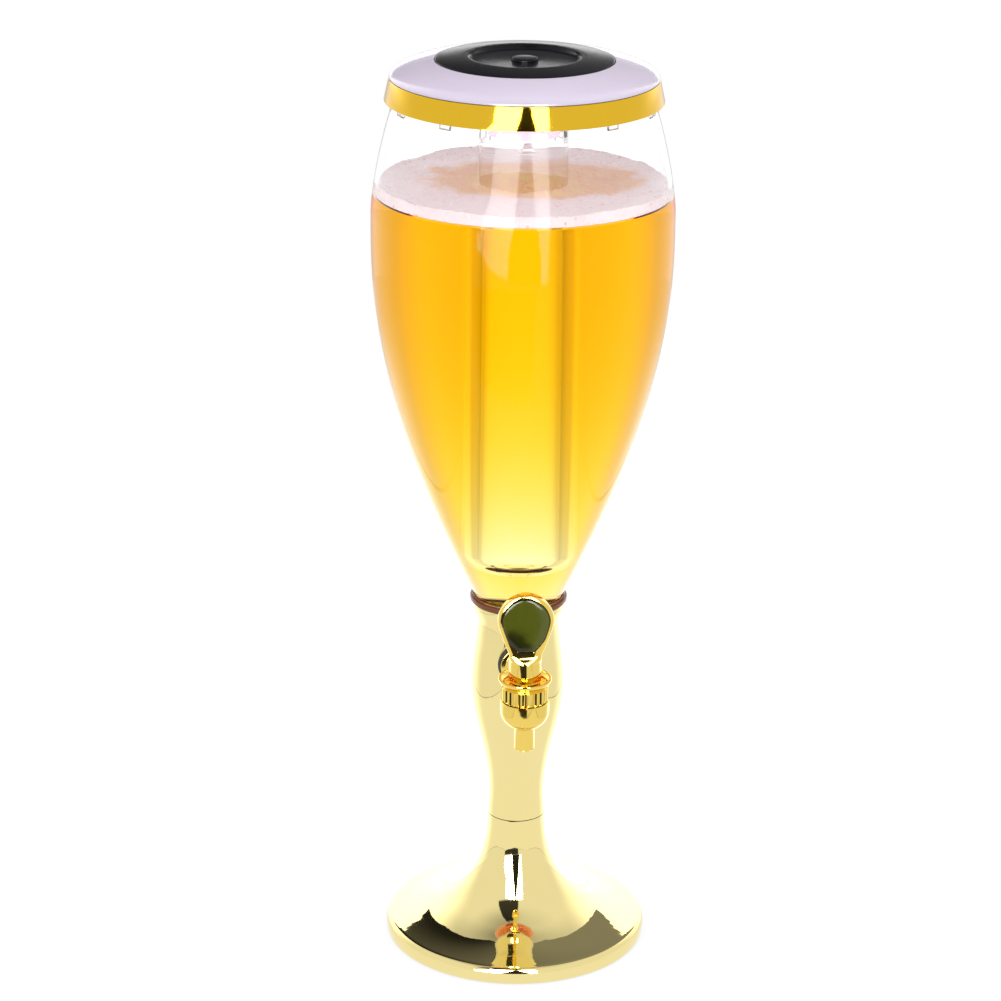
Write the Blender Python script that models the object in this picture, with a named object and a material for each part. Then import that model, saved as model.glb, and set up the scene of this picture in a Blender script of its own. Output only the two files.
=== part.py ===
"""Beer tower dispenser: a clear goblet bowl on a plated stem and foot, with a tap, an ice tube and a lit lid.

Metres, +Z up. The tower stands on Z = 0 with its axis on Z, and the tap faces -Y.
"""

import math

import bmesh
import bpy
from mathutils import Matrix, Vector

MM = 0.001

# Fits
TOUCH_GAP = 0.3 * MM
TURN_GAP = 0.5 * MM
PIN_GAP = 0.1 * MM
OVERRUN = 2.0 * MM
MERGE_DISTANCE = 0.001 * MM

# Facets of the round pieces
LARGE_SEGMENTS = 32
STEM_SEGMENTS = 24
TAP_SEGMENTS = 20
SMALL_SEGMENTS = 12
SHARP_ANGLE = math.radians(32)

# Foot
FOOT_RADIUS = 80.0 * MM
FOOT_HEIGHT = 79.2 * MM
FOOT_WALL = 2.2 * MM
FOOT_LIP_SETBACK = 2.2 * MM
FOOT_LIP_HEIGHT = 10.5 * MM
FOOT_NECK_RADIUS = 18.0 * MM
FOOT_SPIGOT_LENGTH = 12.0 * MM
FOOT_SPIGOT_WALL = 2.2 * MM
FOOT_SPIGOT_ROOT = 6.0 * MM
FLARE_OUTER_HANDLE_SHARES = (0.63, 0.066)
FLARE_NECK_HANDLE_SHARE = 0.36
LIP_BULGE_SHARE = 0.3
LIP_ROUND_SHARE = 0.85
PAD_RADIUS = 56.0 * MM
PAD_THICKNESS = 1.6 * MM
FOOT_RIM_LIFT = 0.8 * MM
BASE_PLATE_THICKNESS = 2.6 * MM
SCREW_CIRCLE_RADIUS = 66.0 * MM
SCREW_COUNT = 4
BOSS_RADIUS = 3.6 * MM
SCREW_RADIUS = 1.5 * MM
SCREW_HEAD_RADIUS = 2.8 * MM
SCREW_HEAD_HEIGHT = 1.2 * MM
SCREW_LENGTH = 6.4 * MM
WEIGHT_BORE_RADIUS = 16.0 * MM
WEIGHT_SHOULDER_RADIUS = 38.0 * MM
WEIGHT_CLEARANCE = 0.6 * MM

# Stem
STEM_LENGTH = 141.0 * MM
STEM_WALL = 2.0 * MM
STEM_WAIST_RADIUS = 17.4 * MM
STEM_WAIST_HEIGHT = 13.5 * MM
STEM_BULGE_RADIUS = 29.1 * MM
STEM_BULGE_HEIGHT = 87.5 * MM
STEM_THROAT_RADIUS = 25.9 * MM
STEM_THROAT_HEIGHT = 126.5 * MM
STEM_TOP_RADIUS = 28.6 * MM

# Reservoir cup inside the stem, and the seal that the bowl sits on
CUP_WALL = 1.8 * MM
CUP_DEPTH = 55.5 * MM
CUP_FLOOR_ROUND = 8.0 * MM
CUP_FLANGE_THICKNESS = 1.2 * MM
SEAL_THICKNESS = 1.4 * MM
SEAL_PROUD = 0.7 * MM

# Bowl
BOWL_WALL = 2.4 * MM
BOWL_HEIGHT = 306.0 * MM
BOWL_BEAD_RADIUS = 28.0 * MM
BOWL_BEAD_HEIGHT = 1.5 * MM
BOWL_NECK_RADIUS = 27.1 * MM
BOWL_BELLY_RADIUS = 88.4 * MM
BOWL_BELLY_HEIGHT = 237.5 * MM
BOWL_RIM_RADIUS = 74.4 * MM
BOWL_SPIGOT_LENGTH = 18.0 * MM
BOWL_SPIGOT_WALL = 2.0 * MM
BOWL_FLARE_SHARES = (1.05, 0.552)
BOWL_BELLY_SWEEP_SHARE = 0.156
BOWL_SHOULDER_SWEEP_SHARE = 0.05
BOWL_RIM_HANDLE_SHARES = (0.93, 0.60)

# Tap; heights are measured from the shank's axis
TAP_HEIGHT_ON_STEM = 109.9 * MM
TAP_REACH = 96.0 * MM
TAP_PAD_FACE = 28.6 * MM
TAP_PAD_RADIUS = 12.8 * MM
CUP_PAD_FACE = 18.7 * MM
CUP_PAD_RADIUS = 11.6 * MM
SHANK_RADIUS = 6.2 * MM
SHANK_BORE_RADIUS = 4.2 * MM
SHANK_END = 8.0 * MM
SHANK_FLANGE_RADIUS = 11.6 * MM
SHANK_FLANGE_THICKNESS = 2.6 * MM
GASKET_RADIUS = 13.2 * MM
GASKET_THICKNESS = 1.9 * MM
WASHER_THICKNESS = 2.0 * MM
NUT_RADIUS = 10.6 * MM
NUT_THICKNESS = 5.0 * MM
BARREL_RADIUS = 14.25 * MM
BARREL_TOP = 6.2 * MM
BARREL_BOTTOM = 11.0 * MM
BARREL_FOOT_RADIUS = 6.4 * MM
BARREL_NECK_RADIUS = 11.4 * MM
BARREL_NECK_LENGTH = 7.1 * MM
BARREL_ROUND_SHARES = (0.35, 0.56, 0.86)
CHAMBER_RADIUS = 9.6 * MM
CHAMBER_SEAT_TOP = 4.5 * MM
CHAMBER_SEAT_BOTTOM = 9.5 * MM
SPOUT_RADIUS = 5.9 * MM
SPOUT_BORE_RADIUS = 4.4 * MM
SPOUT_LENGTH = 13.4 * MM

# Tap bonnet
BONNET_RADIUS = 13.0 * MM
BONNET_GRIP_HEIGHT = 8.6 * MM
BONNET_RIB_DEPTH = 0.6 * MM
BONNET_RIB_WIDTH = 1.7 * MM
BONNET_RIB_COUNT = 24
BONNET_RIM_RADIUS = 15.5 * MM
BONNET_RIM_RISE = 5.3 * MM
BONNET_RIM_THICKNESS = 0.9 * MM
BONNET_FLOOR_THICKNESS = 3.0 * MM
BONNET_FLOOR_RISE = 2.1 * MM
BONNET_DISH_RADIUS = 10.6 * MM
GUIDE_WALL = 1.9 * MM
GUIDE_LENGTH = 4.0 * MM

# Valve
VALVE_ROD_RADIUS = 3.0 * MM
VALVE_ROD_ABOVE_PIN = 3.0 * MM
VALVE_FLANGE_RADIUS = 8.4 * MM
VALVE_FLANGE_THICKNESS = 1.4 * MM
VALVE_KNOB_LENGTH = 4.4 * MM
SEAL_SKIRT_HEIGHT = 2.6 * MM
SEAL_TIP_RADIUS = 3.4 * MM
VALVE_SPRING_MEAN_RADIUS = 6.9 * MM
VALVE_SPRING_WIRE_RADIUS = 0.4 * MM
VALVE_SPRING_CURLS = 5
POINTS_PER_CURL = 8

# Tap handle; heights are measured from its pin
PIN_RADIUS = 1.3 * MM
PIN_SHORTFALL = 1.0 * MM
HANDLE_HEEL = 4.5 * MM
HANDLE_HEEL_ROUND = 2.5 * MM
HANDLE_HUB_RADIUS = 9.4 * MM
HANDLE_NECK_TOP = 9.0 * MM
PADDLE_BOTTOM = 14.0 * MM
PADDLE_TOP = 51.3 * MM
PADDLE_HALF_WIDTH = 16.2 * MM
PADDLE_THICKNESS = 8.6 * MM
PADDLE_FRONT = 6.6 * MM
PADDLE_TAPER_POWER = 1.3
PADDLE_FRONT_SQUARENESS = 5.0
PADDLE_BACK_SQUARENESS = 2.4
PADDLE_TIP_THICKNESS_SHARE = 0.45
PADDLE_BORDER = 2.1 * MM
POCKET_DEPTH = 1.8 * MM
POCKET_CORNER_SHARE = 0.45
INSERT_CROWN = 0.8 * MM
HANDLE_POINTS = 20
HANDLE_TILT = math.radians(35)

# Lid; heights are measured from the plane that it sits on
LID_PLAY = 0.8 * MM
LID_RING_THICKNESS = 2.0 * MM
LID_SKIRT_DEPTH = 4.0 * MM
LID_SKIRT_WALL = 1.8 * MM
BAND_TAPER = 2.9 * MM
BAND_HEIGHT = 13.0 * MM
BAND_DROP = 2.35 * MM
BAND_WALL = 1.4 * MM
LUG_ANGLES = tuple(math.radians(side * step) for side in (-1, 1) for step in (37, 66.5, 113.5, 143))
LUG_SPAN = math.radians(5)
LUG_PROUD = 3.5 * MM
LUG_THICKNESS = 2.1 * MM
LUG_LEAN = 1.2 * MM
DOME_WALL = 2.0 * MM
DOME_CROWN_HEIGHT = 20.9 * MM
DOME_EDGE_RISE_SHARE = 0.45
DOME_CROWN_HANDLE_SHARES = (0.35, 0.13)
LEDGE_THICKNESS = 1.8 * MM
LEDGE_DROP = 2.0 * MM
LEDGE_WIDTH = 5.0 * MM

# Centre cap and its bayonet
CAP_RADIUS = 51.4 * MM
CAP_WALL = 1.8 * MM
CAP_EDGE_HEIGHT = 2.1 * MM
CAP_CROWN_RISE = 1.6 * MM
CAP_CROWN_RADIUS = 34.5 * MM
DISH_RADIUS = 29.0 * MM
DISH_DEPTH = 2.5 * MM
DISH_LIP = 1.6 * MM
CAP_SKIRT_DEPTH = 4.4 * MM
CAP_SKIRT_WALL = 1.8 * MM
CAP_TAB_REACH = 2.4 * MM
CAP_TAB_HEIGHT = 2.0 * MM
CAP_TAB_COUNT = 3
CAP_TAB_SPAN = math.radians(16)
CAP_TWIST = math.radians(30)
NOTCH_MARGIN = math.radians(2)

# Light button, its spring and the switch under it
BUTTON_RADIUS = 7.6 * MM
BUTTON_PROUD = 2.7 * MM
BUTTON_CROWN = 0.9 * MM
BUTTON_WALL = 1.1 * MM
BUTTON_FLANGE_WIDTH = 1.9 * MM
BUTTON_FLANGE_THICKNESS = 1.2 * MM
BUTTON_TRAVEL = 1.2 * MM
BUTTON_PLUNGER_RADIUS = 1.5 * MM
BUTTON_SPRING_MEAN_RADIUS = 5.5 * MM
BUTTON_SPRING_WIRE_RADIUS = 0.3 * MM
BUTTON_SPRING_CURLS = 4
SWITCH_WIDTH = 6.0 * MM
SWITCH_HEIGHT = 1.2 * MM

# Battery tray and circuit board
TRAY_RADIUS = 31.5 * MM
TRAY_WALL = 1.5 * MM
TRAY_HEIGHT = 12.7 * MM
BATTERY_RADIUS = 5.25 * MM
BATTERY_LENGTH = 44.5 * MM
BATTERY_NUB_RADIUS = 1.9 * MM
BATTERY_NUB_LENGTH = 0.9 * MM
BATTERY_PITCH = 11.0 * MM
CONTACT_THICKNESS = 0.5 * MM
CONTACT_HEIGHT = 9.0 * MM
BOARD_THICKNESS = 1.2 * MM

# Tube plug under the lid, with the lamp in it
PLUG_RADIUS = 23.2 * MM
PLUG_WALL = 2.0 * MM
PLUG_DEPTH = 19.3 * MM
PLUG_FLANGE_RADIUS = 39.0 * MM
PLUG_FLANGE_THICKNESS = 2.2 * MM
PLUG_LIP = 1.8 * MM
LED_LEDGE_DEPTH = 8.6 * MM
LED_LEDGE_THICKNESS = 2.0 * MM
LED_LEDGE_WIDTH = 2.4 * MM
LED_RADIUS = 2.5 * MM
LED_HEIGHT = 5.4 * MM
LED_CIRCLE_RADIUS = 11.0 * MM
LED_COUNT = 3
LENS_THICKNESS = 2.0 * MM
GROOVE_DEPTH = 1.1 * MM
GROOVE_TOP = 5.4 * MM
PLUG_SEAL_WIDTH = 2.4 * MM
LID_SCREW_CIRCLE = 35.4 * MM
LID_SCREW_COUNT = 3
LID_BOSS_HEIGHT = 7.0 * MM
LID_SCREW_LENGTH = 7.0 * MM

# Bayonet hooks of the plug, and the ice tube
HOOK_LENGTH = 10.0 * MM
HOOK_FOOT_THICKNESS = 2.0 * MM
HOOK_COUNT = 3
HOOK_LEG_SPAN = math.radians(6)
HOOK_FOOT_SPAN = math.radians(26)
TUBE_LUG_SPAN = math.radians(14)
TUBE_LUG_HEIGHT = 2.8 * MM
TUBE_TWIST = math.radians(25)
TUBE_WALL = 2.0 * MM
TUBE_TAPER = 1.0 * MM
TUBE_FLOOR_GAP = 22.0 * MM
TUBE_FLOOR_ROUND = 9.0 * MM
TUBE_GATE_RADIUS = 8.0 * MM
TUBE_GATE_DEPTH = 0.8 * MM

# Heights and radii that follow from the sizes above
PLATE_BOTTOM = PAD_THICKNESS + TOUCH_GAP
PLATE_TOP = PLATE_BOTTOM + BASE_PLATE_THICKNESS
STEM_BASE = FOOT_HEIGHT + TOUCH_GAP
STEM_TOP = STEM_BASE + STEM_LENGTH
CUP_FLANGE_TOP = STEM_TOP + TOUCH_GAP + CUP_FLANGE_THICKNESS
SEAL_TOP = CUP_FLANGE_TOP + TOUCH_GAP + SEAL_THICKNESS
BOWL_SEAT = SEAL_TOP + TOUCH_GAP
BOWL_TOP = BOWL_SEAT + BOWL_HEIGHT
CUP_RADIUS = STEM_THROAT_RADIUS - STEM_WALL - TOUCH_GAP
BOWL_SPIGOT_RADIUS = CUP_RADIUS - CUP_WALL - TOUCH_GAP
TAP_HEIGHT = STEM_BASE + TAP_HEIGHT_ON_STEM
LID_SEAT = BOWL_TOP + TOUCH_GAP
DOME_BOTTOM = LID_RING_THICKNESS + TOUCH_GAP
LEDGE_TOP = DOME_CROWN_HEIGHT - LEDGE_DROP
LEDGE_OUTER_RADIUS = CAP_RADIUS + TURN_GAP
LEDGE_INNER_RADIUS = LEDGE_OUTER_RADIUS - LEDGE_WIDTH
CAP_BOTTOM = LEDGE_TOP + TOUCH_GAP
CAP_CROWN = CAP_BOTTOM + CAP_EDGE_HEIGHT + CAP_CROWN_RISE
DISH_FLOOR = CAP_CROWN - DISH_DEPTH
CAP_UNDERSIDE = DISH_FLOOR - CAP_WALL
CAP_SKIRT_RADIUS = LEDGE_INNER_RADIUS - TURN_GAP
CAP_SKIRT_BOTTOM = CAP_BOTTOM - CAP_SKIRT_DEPTH
BOARD_BOTTOM = TRAY_HEIGHT + TOUCH_GAP
BOARD_TOP = BOARD_BOTTOM + BOARD_THICKNESS
PLUG_TOP = -TOUCH_GAP
PLUG_FLANGE_BOTTOM = PLUG_TOP - PLUG_FLANGE_THICKNESS
TUBE_TOP = PLUG_FLANGE_BOTTOM - TURN_GAP
TUBE_RADIUS = PLUG_RADIUS + LID_PLAY + TUBE_WALL
TUBE_BOTTOM = BOWL_SEAT + TUBE_FLOOR_GAP - LID_SEAT
BONNET_BOTTOM = BARREL_TOP + TOUCH_GAP
BONNET_GRIP_TOP = BONNET_BOTTOM + BONNET_GRIP_HEIGHT
BONNET_FLOOR = BONNET_GRIP_TOP + BONNET_FLOOR_RISE
BONNET_UNDERSIDE = BONNET_FLOOR - BONNET_FLOOR_THICKNESS
GUIDE_RADIUS = VALVE_ROD_RADIUS + TOUCH_GAP + GUIDE_WALL
PIN_HEIGHT = BONNET_FLOOR + TOUCH_GAP + HANDLE_HEEL
VALVE_FLANGE_BOTTOM = 0

FINISHES = {
    "champagne_plating": ((0.90, 0.82, 0.56), 0.08, 1.0, 0.0),
    "gold_plating": ((0.86, 0.60, 0.12), 0.1, 1.0, 0.0),
    "clear_plastic": ((0.97, 0.98, 0.99), 0.04, 0.0, 0.9),
    "pearl_plastic": ((0.78, 0.70, 0.84), 0.3, 0.0, 0.0),
    "black_plastic": ((0.02, 0.02, 0.025), 0.35, 0.0, 0.0),
    "white_plastic": ((0.85, 0.85, 0.83), 0.4, 0.0, 0.0),
    "green_gloss": ((0.05, 0.10, 0.01), 0.1, 0.0, 0.0),
    "seal_rubber": ((0.10, 0.03, 0.02), 0.6, 0.0, 0.0),
    "black_rubber": ((0.02, 0.02, 0.02), 0.8, 0.0, 0.0),
    "silicone": ((0.80, 0.80, 0.78), 0.5, 0.0, 0.3),
    "steel": ((0.65, 0.66, 0.68), 0.3, 1.0, 0.0),
    "cast_iron": ((0.10, 0.10, 0.11), 0.7, 0.8, 0.0),
    "circuit_green": ((0.02, 0.20, 0.08), 0.5, 0.0, 0.0),
    "battery_jacket": ((0.15, 0.15, 0.17), 0.4, 0.3, 0.0),
    "lamp_lens": ((0.95, 0.80, 0.84), 0.3, 0.0, 0.6),
}


def bezier(start, start_handle, end_handle, end, steps):
    """Points of a cubic curve from start to end, both included."""
    corners = (start, start_handle, end_handle, end)
    points = []
    for step in range(steps + 1):
        t = step / steps
        u = 1 - t
        weights = (u ** 3, 3 * u * u * t, 3 * u * t * t, t ** 3)
        points.append(tuple(sum(w * c[axis] for w, c in zip(weights, corners)) for axis in (0, 1)))
    return points


def offset_line(points, distance):
    """Shift a profile sideways; a positive distance moves it to the left of its direction of travel."""
    shifted = []
    for index, (radius, height) in enumerate(points):
        before = points[max(index - 1, 0)]
        after = points[min(index + 1, len(points) - 1)]
        run = Vector((after[0] - before[0], after[1] - before[1])).normalized()
        shifted.append((radius - run.y * distance, height + run.x * distance))
    return shifted


def height_at(points, radius):
    """Height of a profile where it crosses a radius, for a profile whose radius falls all the way."""
    for (r0, z0), (r1, z1) in zip(points, points[1:]):
        if r1 <= radius <= r0:
            return z0 + (z1 - z0) * (r0 - radius) / (r0 - r1)
    return points[-1][1]


def radius_at(points, height):
    """Radius of a profile where it crosses a height, for a profile that climbs all the way."""
    for (r0, z0), (r1, z1) in zip(points, points[1:]):
        if z0 <= height <= z1:
            return r0 + (r1 - r0) * (height - z0) / (z1 - z0)
    return points[-1][0]


def flat_radius(radius, segments):
    """Radius at the middle of a facet of a round piece."""
    return radius * math.cos(math.pi / segments)


def walled(outer, wall):
    """Closed profile of a wall inside an upward outer line, with level ends."""
    inner = offset_line(outer, wall)
    inner[0] = (outer[0][0] - wall, outer[0][1])
    inner[-1] = (outer[-1][0] - wall, outer[-1][1])
    return outer + inner[::-1]


def turned(profile, segments=LARGE_SEGMENTS, closed=True):
    """Mesh turned about Z from (radius, height) points; an open profile starts and ends on the axis."""
    bm = bmesh.new()
    verts = [bm.verts.new((radius, 0, height)) for radius, height in profile]
    edges = [bm.edges.new(pair) for pair in zip(verts, verts[1:])]
    if closed:
        edges.append(bm.edges.new((verts[-1], verts[0])))
    bmesh.ops.spin(bm, geom=verts + edges, cent=(0, 0, 0), axis=(0, 0, 1), angle=math.tau, steps=segments)
    bmesh.ops.remove_doubles(bm, verts=bm.verts, dist=MERGE_DISTANCE)
    bmesh.ops.recalc_face_normals(bm, faces=bm.faces)
    return to_mesh(bm)


def arc_block(profile, middle, span, steps=2):
    """Solid swept by a closed profile over part of a turn about Z, centred on the angle middle from -Y."""
    bm = bmesh.new()
    rings = []
    for step in range(steps + 1):
        angle = middle - math.pi / 2 - span / 2 + span * step / steps
        ring = [bm.verts.new((r * math.cos(angle), r * math.sin(angle), z)) for r, z in profile]
        rings.append(ring)
    for ring, following in zip(rings, rings[1:]):
        for index in range(len(profile)):
            corner = (index + 1) % len(profile)
            bm.faces.new((ring[index], following[index], following[corner], ring[corner]))
    bm.faces.new(rings[0])
    bm.faces.new(rings[-1][::-1])
    bmesh.ops.recalc_face_normals(bm, faces=bm.faces)
    return to_mesh(bm)


def cylinder(radius, bottom, top, segments=SMALL_SEGMENTS):
    """Closed cylinder on Z between two heights."""
    return turned([(0, bottom), (radius, bottom), (radius, top), (0, top)], segments, closed=False)


def block(low, high):
    """Box between two corners."""
    bm = bmesh.new()
    bmesh.ops.create_cube(bm, size=1)
    size = Vector(high) - Vector(low)
    bmesh.ops.scale(bm, vec=size, verts=bm.verts)
    bmesh.ops.translate(bm, vec=(Vector(high) + Vector(low)) / 2, verts=bm.verts)
    return to_mesh(bm)


def loft(sections):
    """Solid through closed sections of equally many points, capped at both ends."""
    bm = bmesh.new()
    rings = [[bm.verts.new(point) for point in section] for section in sections]
    for ring, following in zip(rings, rings[1:]):
        for index in range(len(ring)):
            corner = (index + 1) % len(ring)
            bm.faces.new((ring[index], ring[corner], following[corner], following[index]))
    bm.faces.new(rings[0][::-1])
    bm.faces.new(rings[-1])
    bmesh.ops.recalc_face_normals(bm, faces=bm.faces)
    return to_mesh(bm)


def to_mesh(bm):
    """Mesh data from a bmesh, which is freed."""
    mesh = bpy.data.meshes.new("shape")
    bm.to_mesh(mesh)
    bm.free()
    return mesh


def moved(mesh, offset=(0, 0, 0), turn=None):
    """The same mesh, turned and then shifted in place."""
    matrix = Matrix.Translation(offset)
    if turn is not None:
        matrix = matrix @ turn
    mesh.transform(matrix)
    return mesh


ALONG_X = Matrix.Rotation(math.pi / 2, 4, "Y")
TOWARDS_STEM = Matrix.Rotation(-math.pi / 2, 4, "X")


def joined(meshes):
    """One mesh that holds several separate solids, for use as a cutter or a pattern."""
    bm = bmesh.new()
    for mesh in meshes:
        bm.from_mesh(mesh)
        bpy.data.meshes.remove(mesh)
    return to_mesh(bm)


def combined(mesh, tools, operation):
    """The mesh after a union with, or a cut by, each tool mesh in turn."""
    target = bpy.data.objects.new("target", mesh)
    bpy.context.scene.collection.objects.link(target)
    for tool_mesh in tools:
        tool = bpy.data.objects.new("tool", tool_mesh)
        tool.hide_render = True
        tool.display_type = "WIRE"
        bpy.context.scene.collection.objects.link(tool)
        modifier = target.modifiers.new("Cut", "BOOLEAN")
        modifier.operation = operation
        modifier.solver = "EXACT"
        modifier.object = tool
        bpy.context.view_layer.update()
        result = bpy.data.meshes.new_from_object(target.evaluated_get(bpy.context.evaluated_depsgraph_get()))
        target.modifiers.clear()
        target.data = result
        bpy.data.objects.remove(tool)
    final = target.data
    bpy.data.objects.remove(target)
    return final


def cut(mesh, *tools):
    """The mesh with the tools' shapes cut away."""
    return combined(mesh, tools, "DIFFERENCE")


def fused(mesh, *tools):
    """The mesh joined with the tools' shapes."""
    return combined(mesh, tools, "UNION")


def finish_material(name, finish):
    """Principled material for one piece, from the table of finishes."""
    colour, roughness, metallic, transmission = FINISHES[finish]
    material = bpy.data.materials.new(name)
    material.use_nodes = True
    shader = material.node_tree.nodes["Principled BSDF"]
    shader.inputs["Base Color"].default_value = (*colour, 1)
    shader.inputs["Roughness"].default_value = roughness
    shader.inputs["Metallic"].default_value = metallic
    shader.inputs["Transmission Weight"].default_value = transmission
    return material


def piece(name, data, finish, parent, offset=(0, 0, 0)):
    """One named object with its own material, hung from the empty of the body that it moves with."""
    obj = bpy.data.objects.new(name, data)
    bpy.context.scene.collection.objects.link(obj)
    if obj.type == "MESH":
        data.shade_smooth()
        data.set_sharp_from_angle(angle=SHARP_ANGLE)
    data.name = name
    data.materials.clear()
    data.materials.append(finish_material(f"{name}_finish", finish))
    obj.parent = parent
    obj.location = offset
    return obj


def body_frame(name, parent=None, offset=(0, 0, 0)):
    """Empty that carries the pieces of one moving or fixed body."""
    frame = bpy.data.objects.new(name, None)
    bpy.context.scene.collection.objects.link(frame)
    frame.parent = parent
    frame.location = offset
    return frame


def around(count, radius, start=0.0):
    """Points evenly spaced on a circle about Z."""
    angles = [start + math.tau * index / count for index in range(count)]
    return [(radius * math.cos(angle), radius * math.sin(angle)) for angle in angles]


def coil(name, mean_radius, wire_radius, curls, bottom, top):
    """Compression spring on Z between two heights, as a tube along a helix."""
    count = curls * POINTS_PER_CURL
    low = bottom + wire_radius
    rise = top - bottom - 2 * wire_radius
    points = []
    for index in range(count + 1):
        angle = math.tau * index / POINTS_PER_CURL
        height = low + rise * index / count
        points.append(Vector((mean_radius * math.cos(angle), mean_radius * math.sin(angle), height)))
    apart = POINTS_PER_CURL // 2
    gaps = [(a - b).length for i, a in enumerate(points) for b in points[i + apart:]]
    print(f"{name}: least gap to itself {(min(gaps) - 2 * wire_radius) / MM:.2f} mm")
    curve = bpy.data.curves.new(name, "CURVE")
    curve.dimensions = "3D"
    curve.bevel_depth = wire_radius
    curve.bevel_resolution = 1
    curve.use_fill_caps = True
    spline = curve.splines.new("POLY")
    spline.points.add(len(points) - 1)
    for spline_point, point in zip(spline.points, points):
        spline_point.co = (*point, 1)
    return curve


def swell(start, end, steps):
    """Outline between two (radius, height) stations that leaves and arrives upright."""
    points = []
    for step in range(steps + 1):
        t = step / steps
        ease = (1 - math.cos(math.pi * t)) / 2
        points.append((start[0] + (end[0] - start[0]) * ease, start[1] + (end[1] - start[1]) * t))
    return points


# Foot

def foot_outer_line():
    """Outside of the foot from its rim up to the stem: a rounded lip, then a trumpet flare."""
    lip = (FOOT_RADIUS - FOOT_LIP_SETBACK, FOOT_LIP_HEIGHT)
    lip_rise = FOOT_LIP_HEIGHT - FOOT_RIM_LIFT
    bulge = FOOT_RADIUS + FOOT_LIP_SETBACK * LIP_BULGE_SHARE
    rim = (FOOT_RADIUS, FOOT_RIM_LIFT)
    lip_line = bezier(rim, (bulge, FOOT_RIM_LIFT + lip_rise / 2), (bulge, FOOT_RIM_LIFT + lip_rise * LIP_ROUND_SHARE),
                      lip, 3)
    width = lip[0] - FOOT_NECK_RADIUS
    rise = FOOT_HEIGHT - FOOT_LIP_HEIGHT
    outer_handle = (lip[0] - width * FLARE_OUTER_HANDLE_SHARES[0], lip[1] + rise * FLARE_OUTER_HANDLE_SHARES[1])
    neck_handle = (FOOT_NECK_RADIUS, lip[1] + rise * FLARE_NECK_HANDLE_SHARE)
    flare_line = bezier(lip, outer_handle, neck_handle, (FOOT_NECK_RADIUS, FOOT_HEIGHT), 7)
    return lip_line, flare_line


def build_foot(tower):
    """Plated shell, cast weight, base plate with its screws, and the non-slip pad."""
    lip_line, flare_line = foot_outer_line()
    outer = lip_line + flare_line[1:]
    inner = offset_line(outer, FOOT_WALL)
    inner[0] = (outer[0][0] - FOOT_WALL, outer[0][1])
    spigot_radius = STEM_WAIST_RADIUS - STEM_WALL - TOUCH_GAP
    spigot_bore = spigot_radius - FOOT_SPIGOT_WALL
    spigot_top = FOOT_HEIGHT + FOOT_SPIGOT_LENGTH
    root = FOOT_HEIGHT - FOOT_SPIGOT_ROOT
    spigot = [(spigot_radius, FOOT_HEIGHT), (spigot_radius, spigot_top), (spigot_bore, spigot_top), (spigot_bore, root)]
    under = [point for point in inner if point[1] < root - FOOT_WALL]
    shell = turned(outer + spigot + under[::-1])

    roof = height_at(inner, SCREW_CIRCLE_RADIUS)
    places = around(SCREW_COUNT, SCREW_CIRCLE_RADIUS, math.pi / 4)
    boss_bottom = PLATE_TOP + TOUCH_GAP
    bosses = [moved(cylinder(BOSS_RADIUS, boss_bottom, roof + FOOT_WALL / 2), (x, y, 0)) for x, y in places]
    shell = fused(shell, joined(bosses))
    screw_bottom = PLATE_BOTTOM + TOUCH_GAP
    screw_top = min(screw_bottom + SCREW_HEAD_HEIGHT + SCREW_LENGTH, roof - TOUCH_GAP)
    bores = [moved(cylinder(SCREW_RADIUS + TOUCH_GAP, boss_bottom - OVERRUN, screw_top + TOUCH_GAP), (x, y, 0))
             for x, y in places]
    shell = cut(shell, joined(bores))
    piece("foot_shell", shell, "champagne_plating", tower)

    weight_line = offset_line(flare_line, FOOT_WALL + WEIGHT_CLEARANCE)
    weight_radius = SCREW_CIRCLE_RADIUS - BOSS_RADIUS - WEIGHT_CLEARANCE
    crown = [p for p in weight_line if WEIGHT_SHOULDER_RADIUS < p[0] < weight_radius]
    shoulder = height_at(weight_line, WEIGHT_SHOULDER_RADIUS)
    outline = [(WEIGHT_BORE_RADIUS, boss_bottom), (weight_radius, boss_bottom),
               (weight_radius, height_at(weight_line, weight_radius))]
    outline += crown + [(WEIGHT_SHOULDER_RADIUS, shoulder), (WEIGHT_BORE_RADIUS, shoulder)]
    piece("foot_weight", turned(outline, STEM_SEGMENTS), "cast_iron", tower)

    plate_radius = FOOT_RADIUS - FOOT_WALL - TURN_GAP
    plate = cylinder(plate_radius, PLATE_BOTTOM, PLATE_TOP, STEM_SEGMENTS)
    holes = [moved(cylinder(SCREW_RADIUS + TOUCH_GAP, PLATE_BOTTOM - OVERRUN, PLATE_TOP + OVERRUN), (x, y, 0))
             for x, y in places]
    counterbore_top = screw_bottom + SCREW_HEAD_HEIGHT + TOUCH_GAP
    counterbores = [moved(cylinder(SCREW_HEAD_RADIUS + TOUCH_GAP, PLATE_BOTTOM - OVERRUN, counterbore_top), (x, y, 0))
                    for x, y in places]
    plate = cut(plate, joined(holes), joined(counterbores))
    piece("base_plate", plate, "black_plastic", tower)
    piece("non_slip_pad", cylinder(PAD_RADIUS, 0, PAD_THICKNESS, LARGE_SEGMENTS), "black_rubber", tower)

    for number, (x, y) in enumerate(places, 1):
        neck = screw_bottom + SCREW_HEAD_HEIGHT
        screw = turned([(0, screw_bottom), (SCREW_HEAD_RADIUS, screw_bottom), (SCREW_HEAD_RADIUS, neck),
                        (SCREW_RADIUS, neck), (SCREW_RADIUS, screw_top - SCREW_RADIUS), (0, screw_top)],
                       SMALL_SEGMENTS, closed=False)
        piece(f"base_screw_{number}", screw, "steel", tower, (x, y, 0))


# Stem with its reservoir cup

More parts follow.
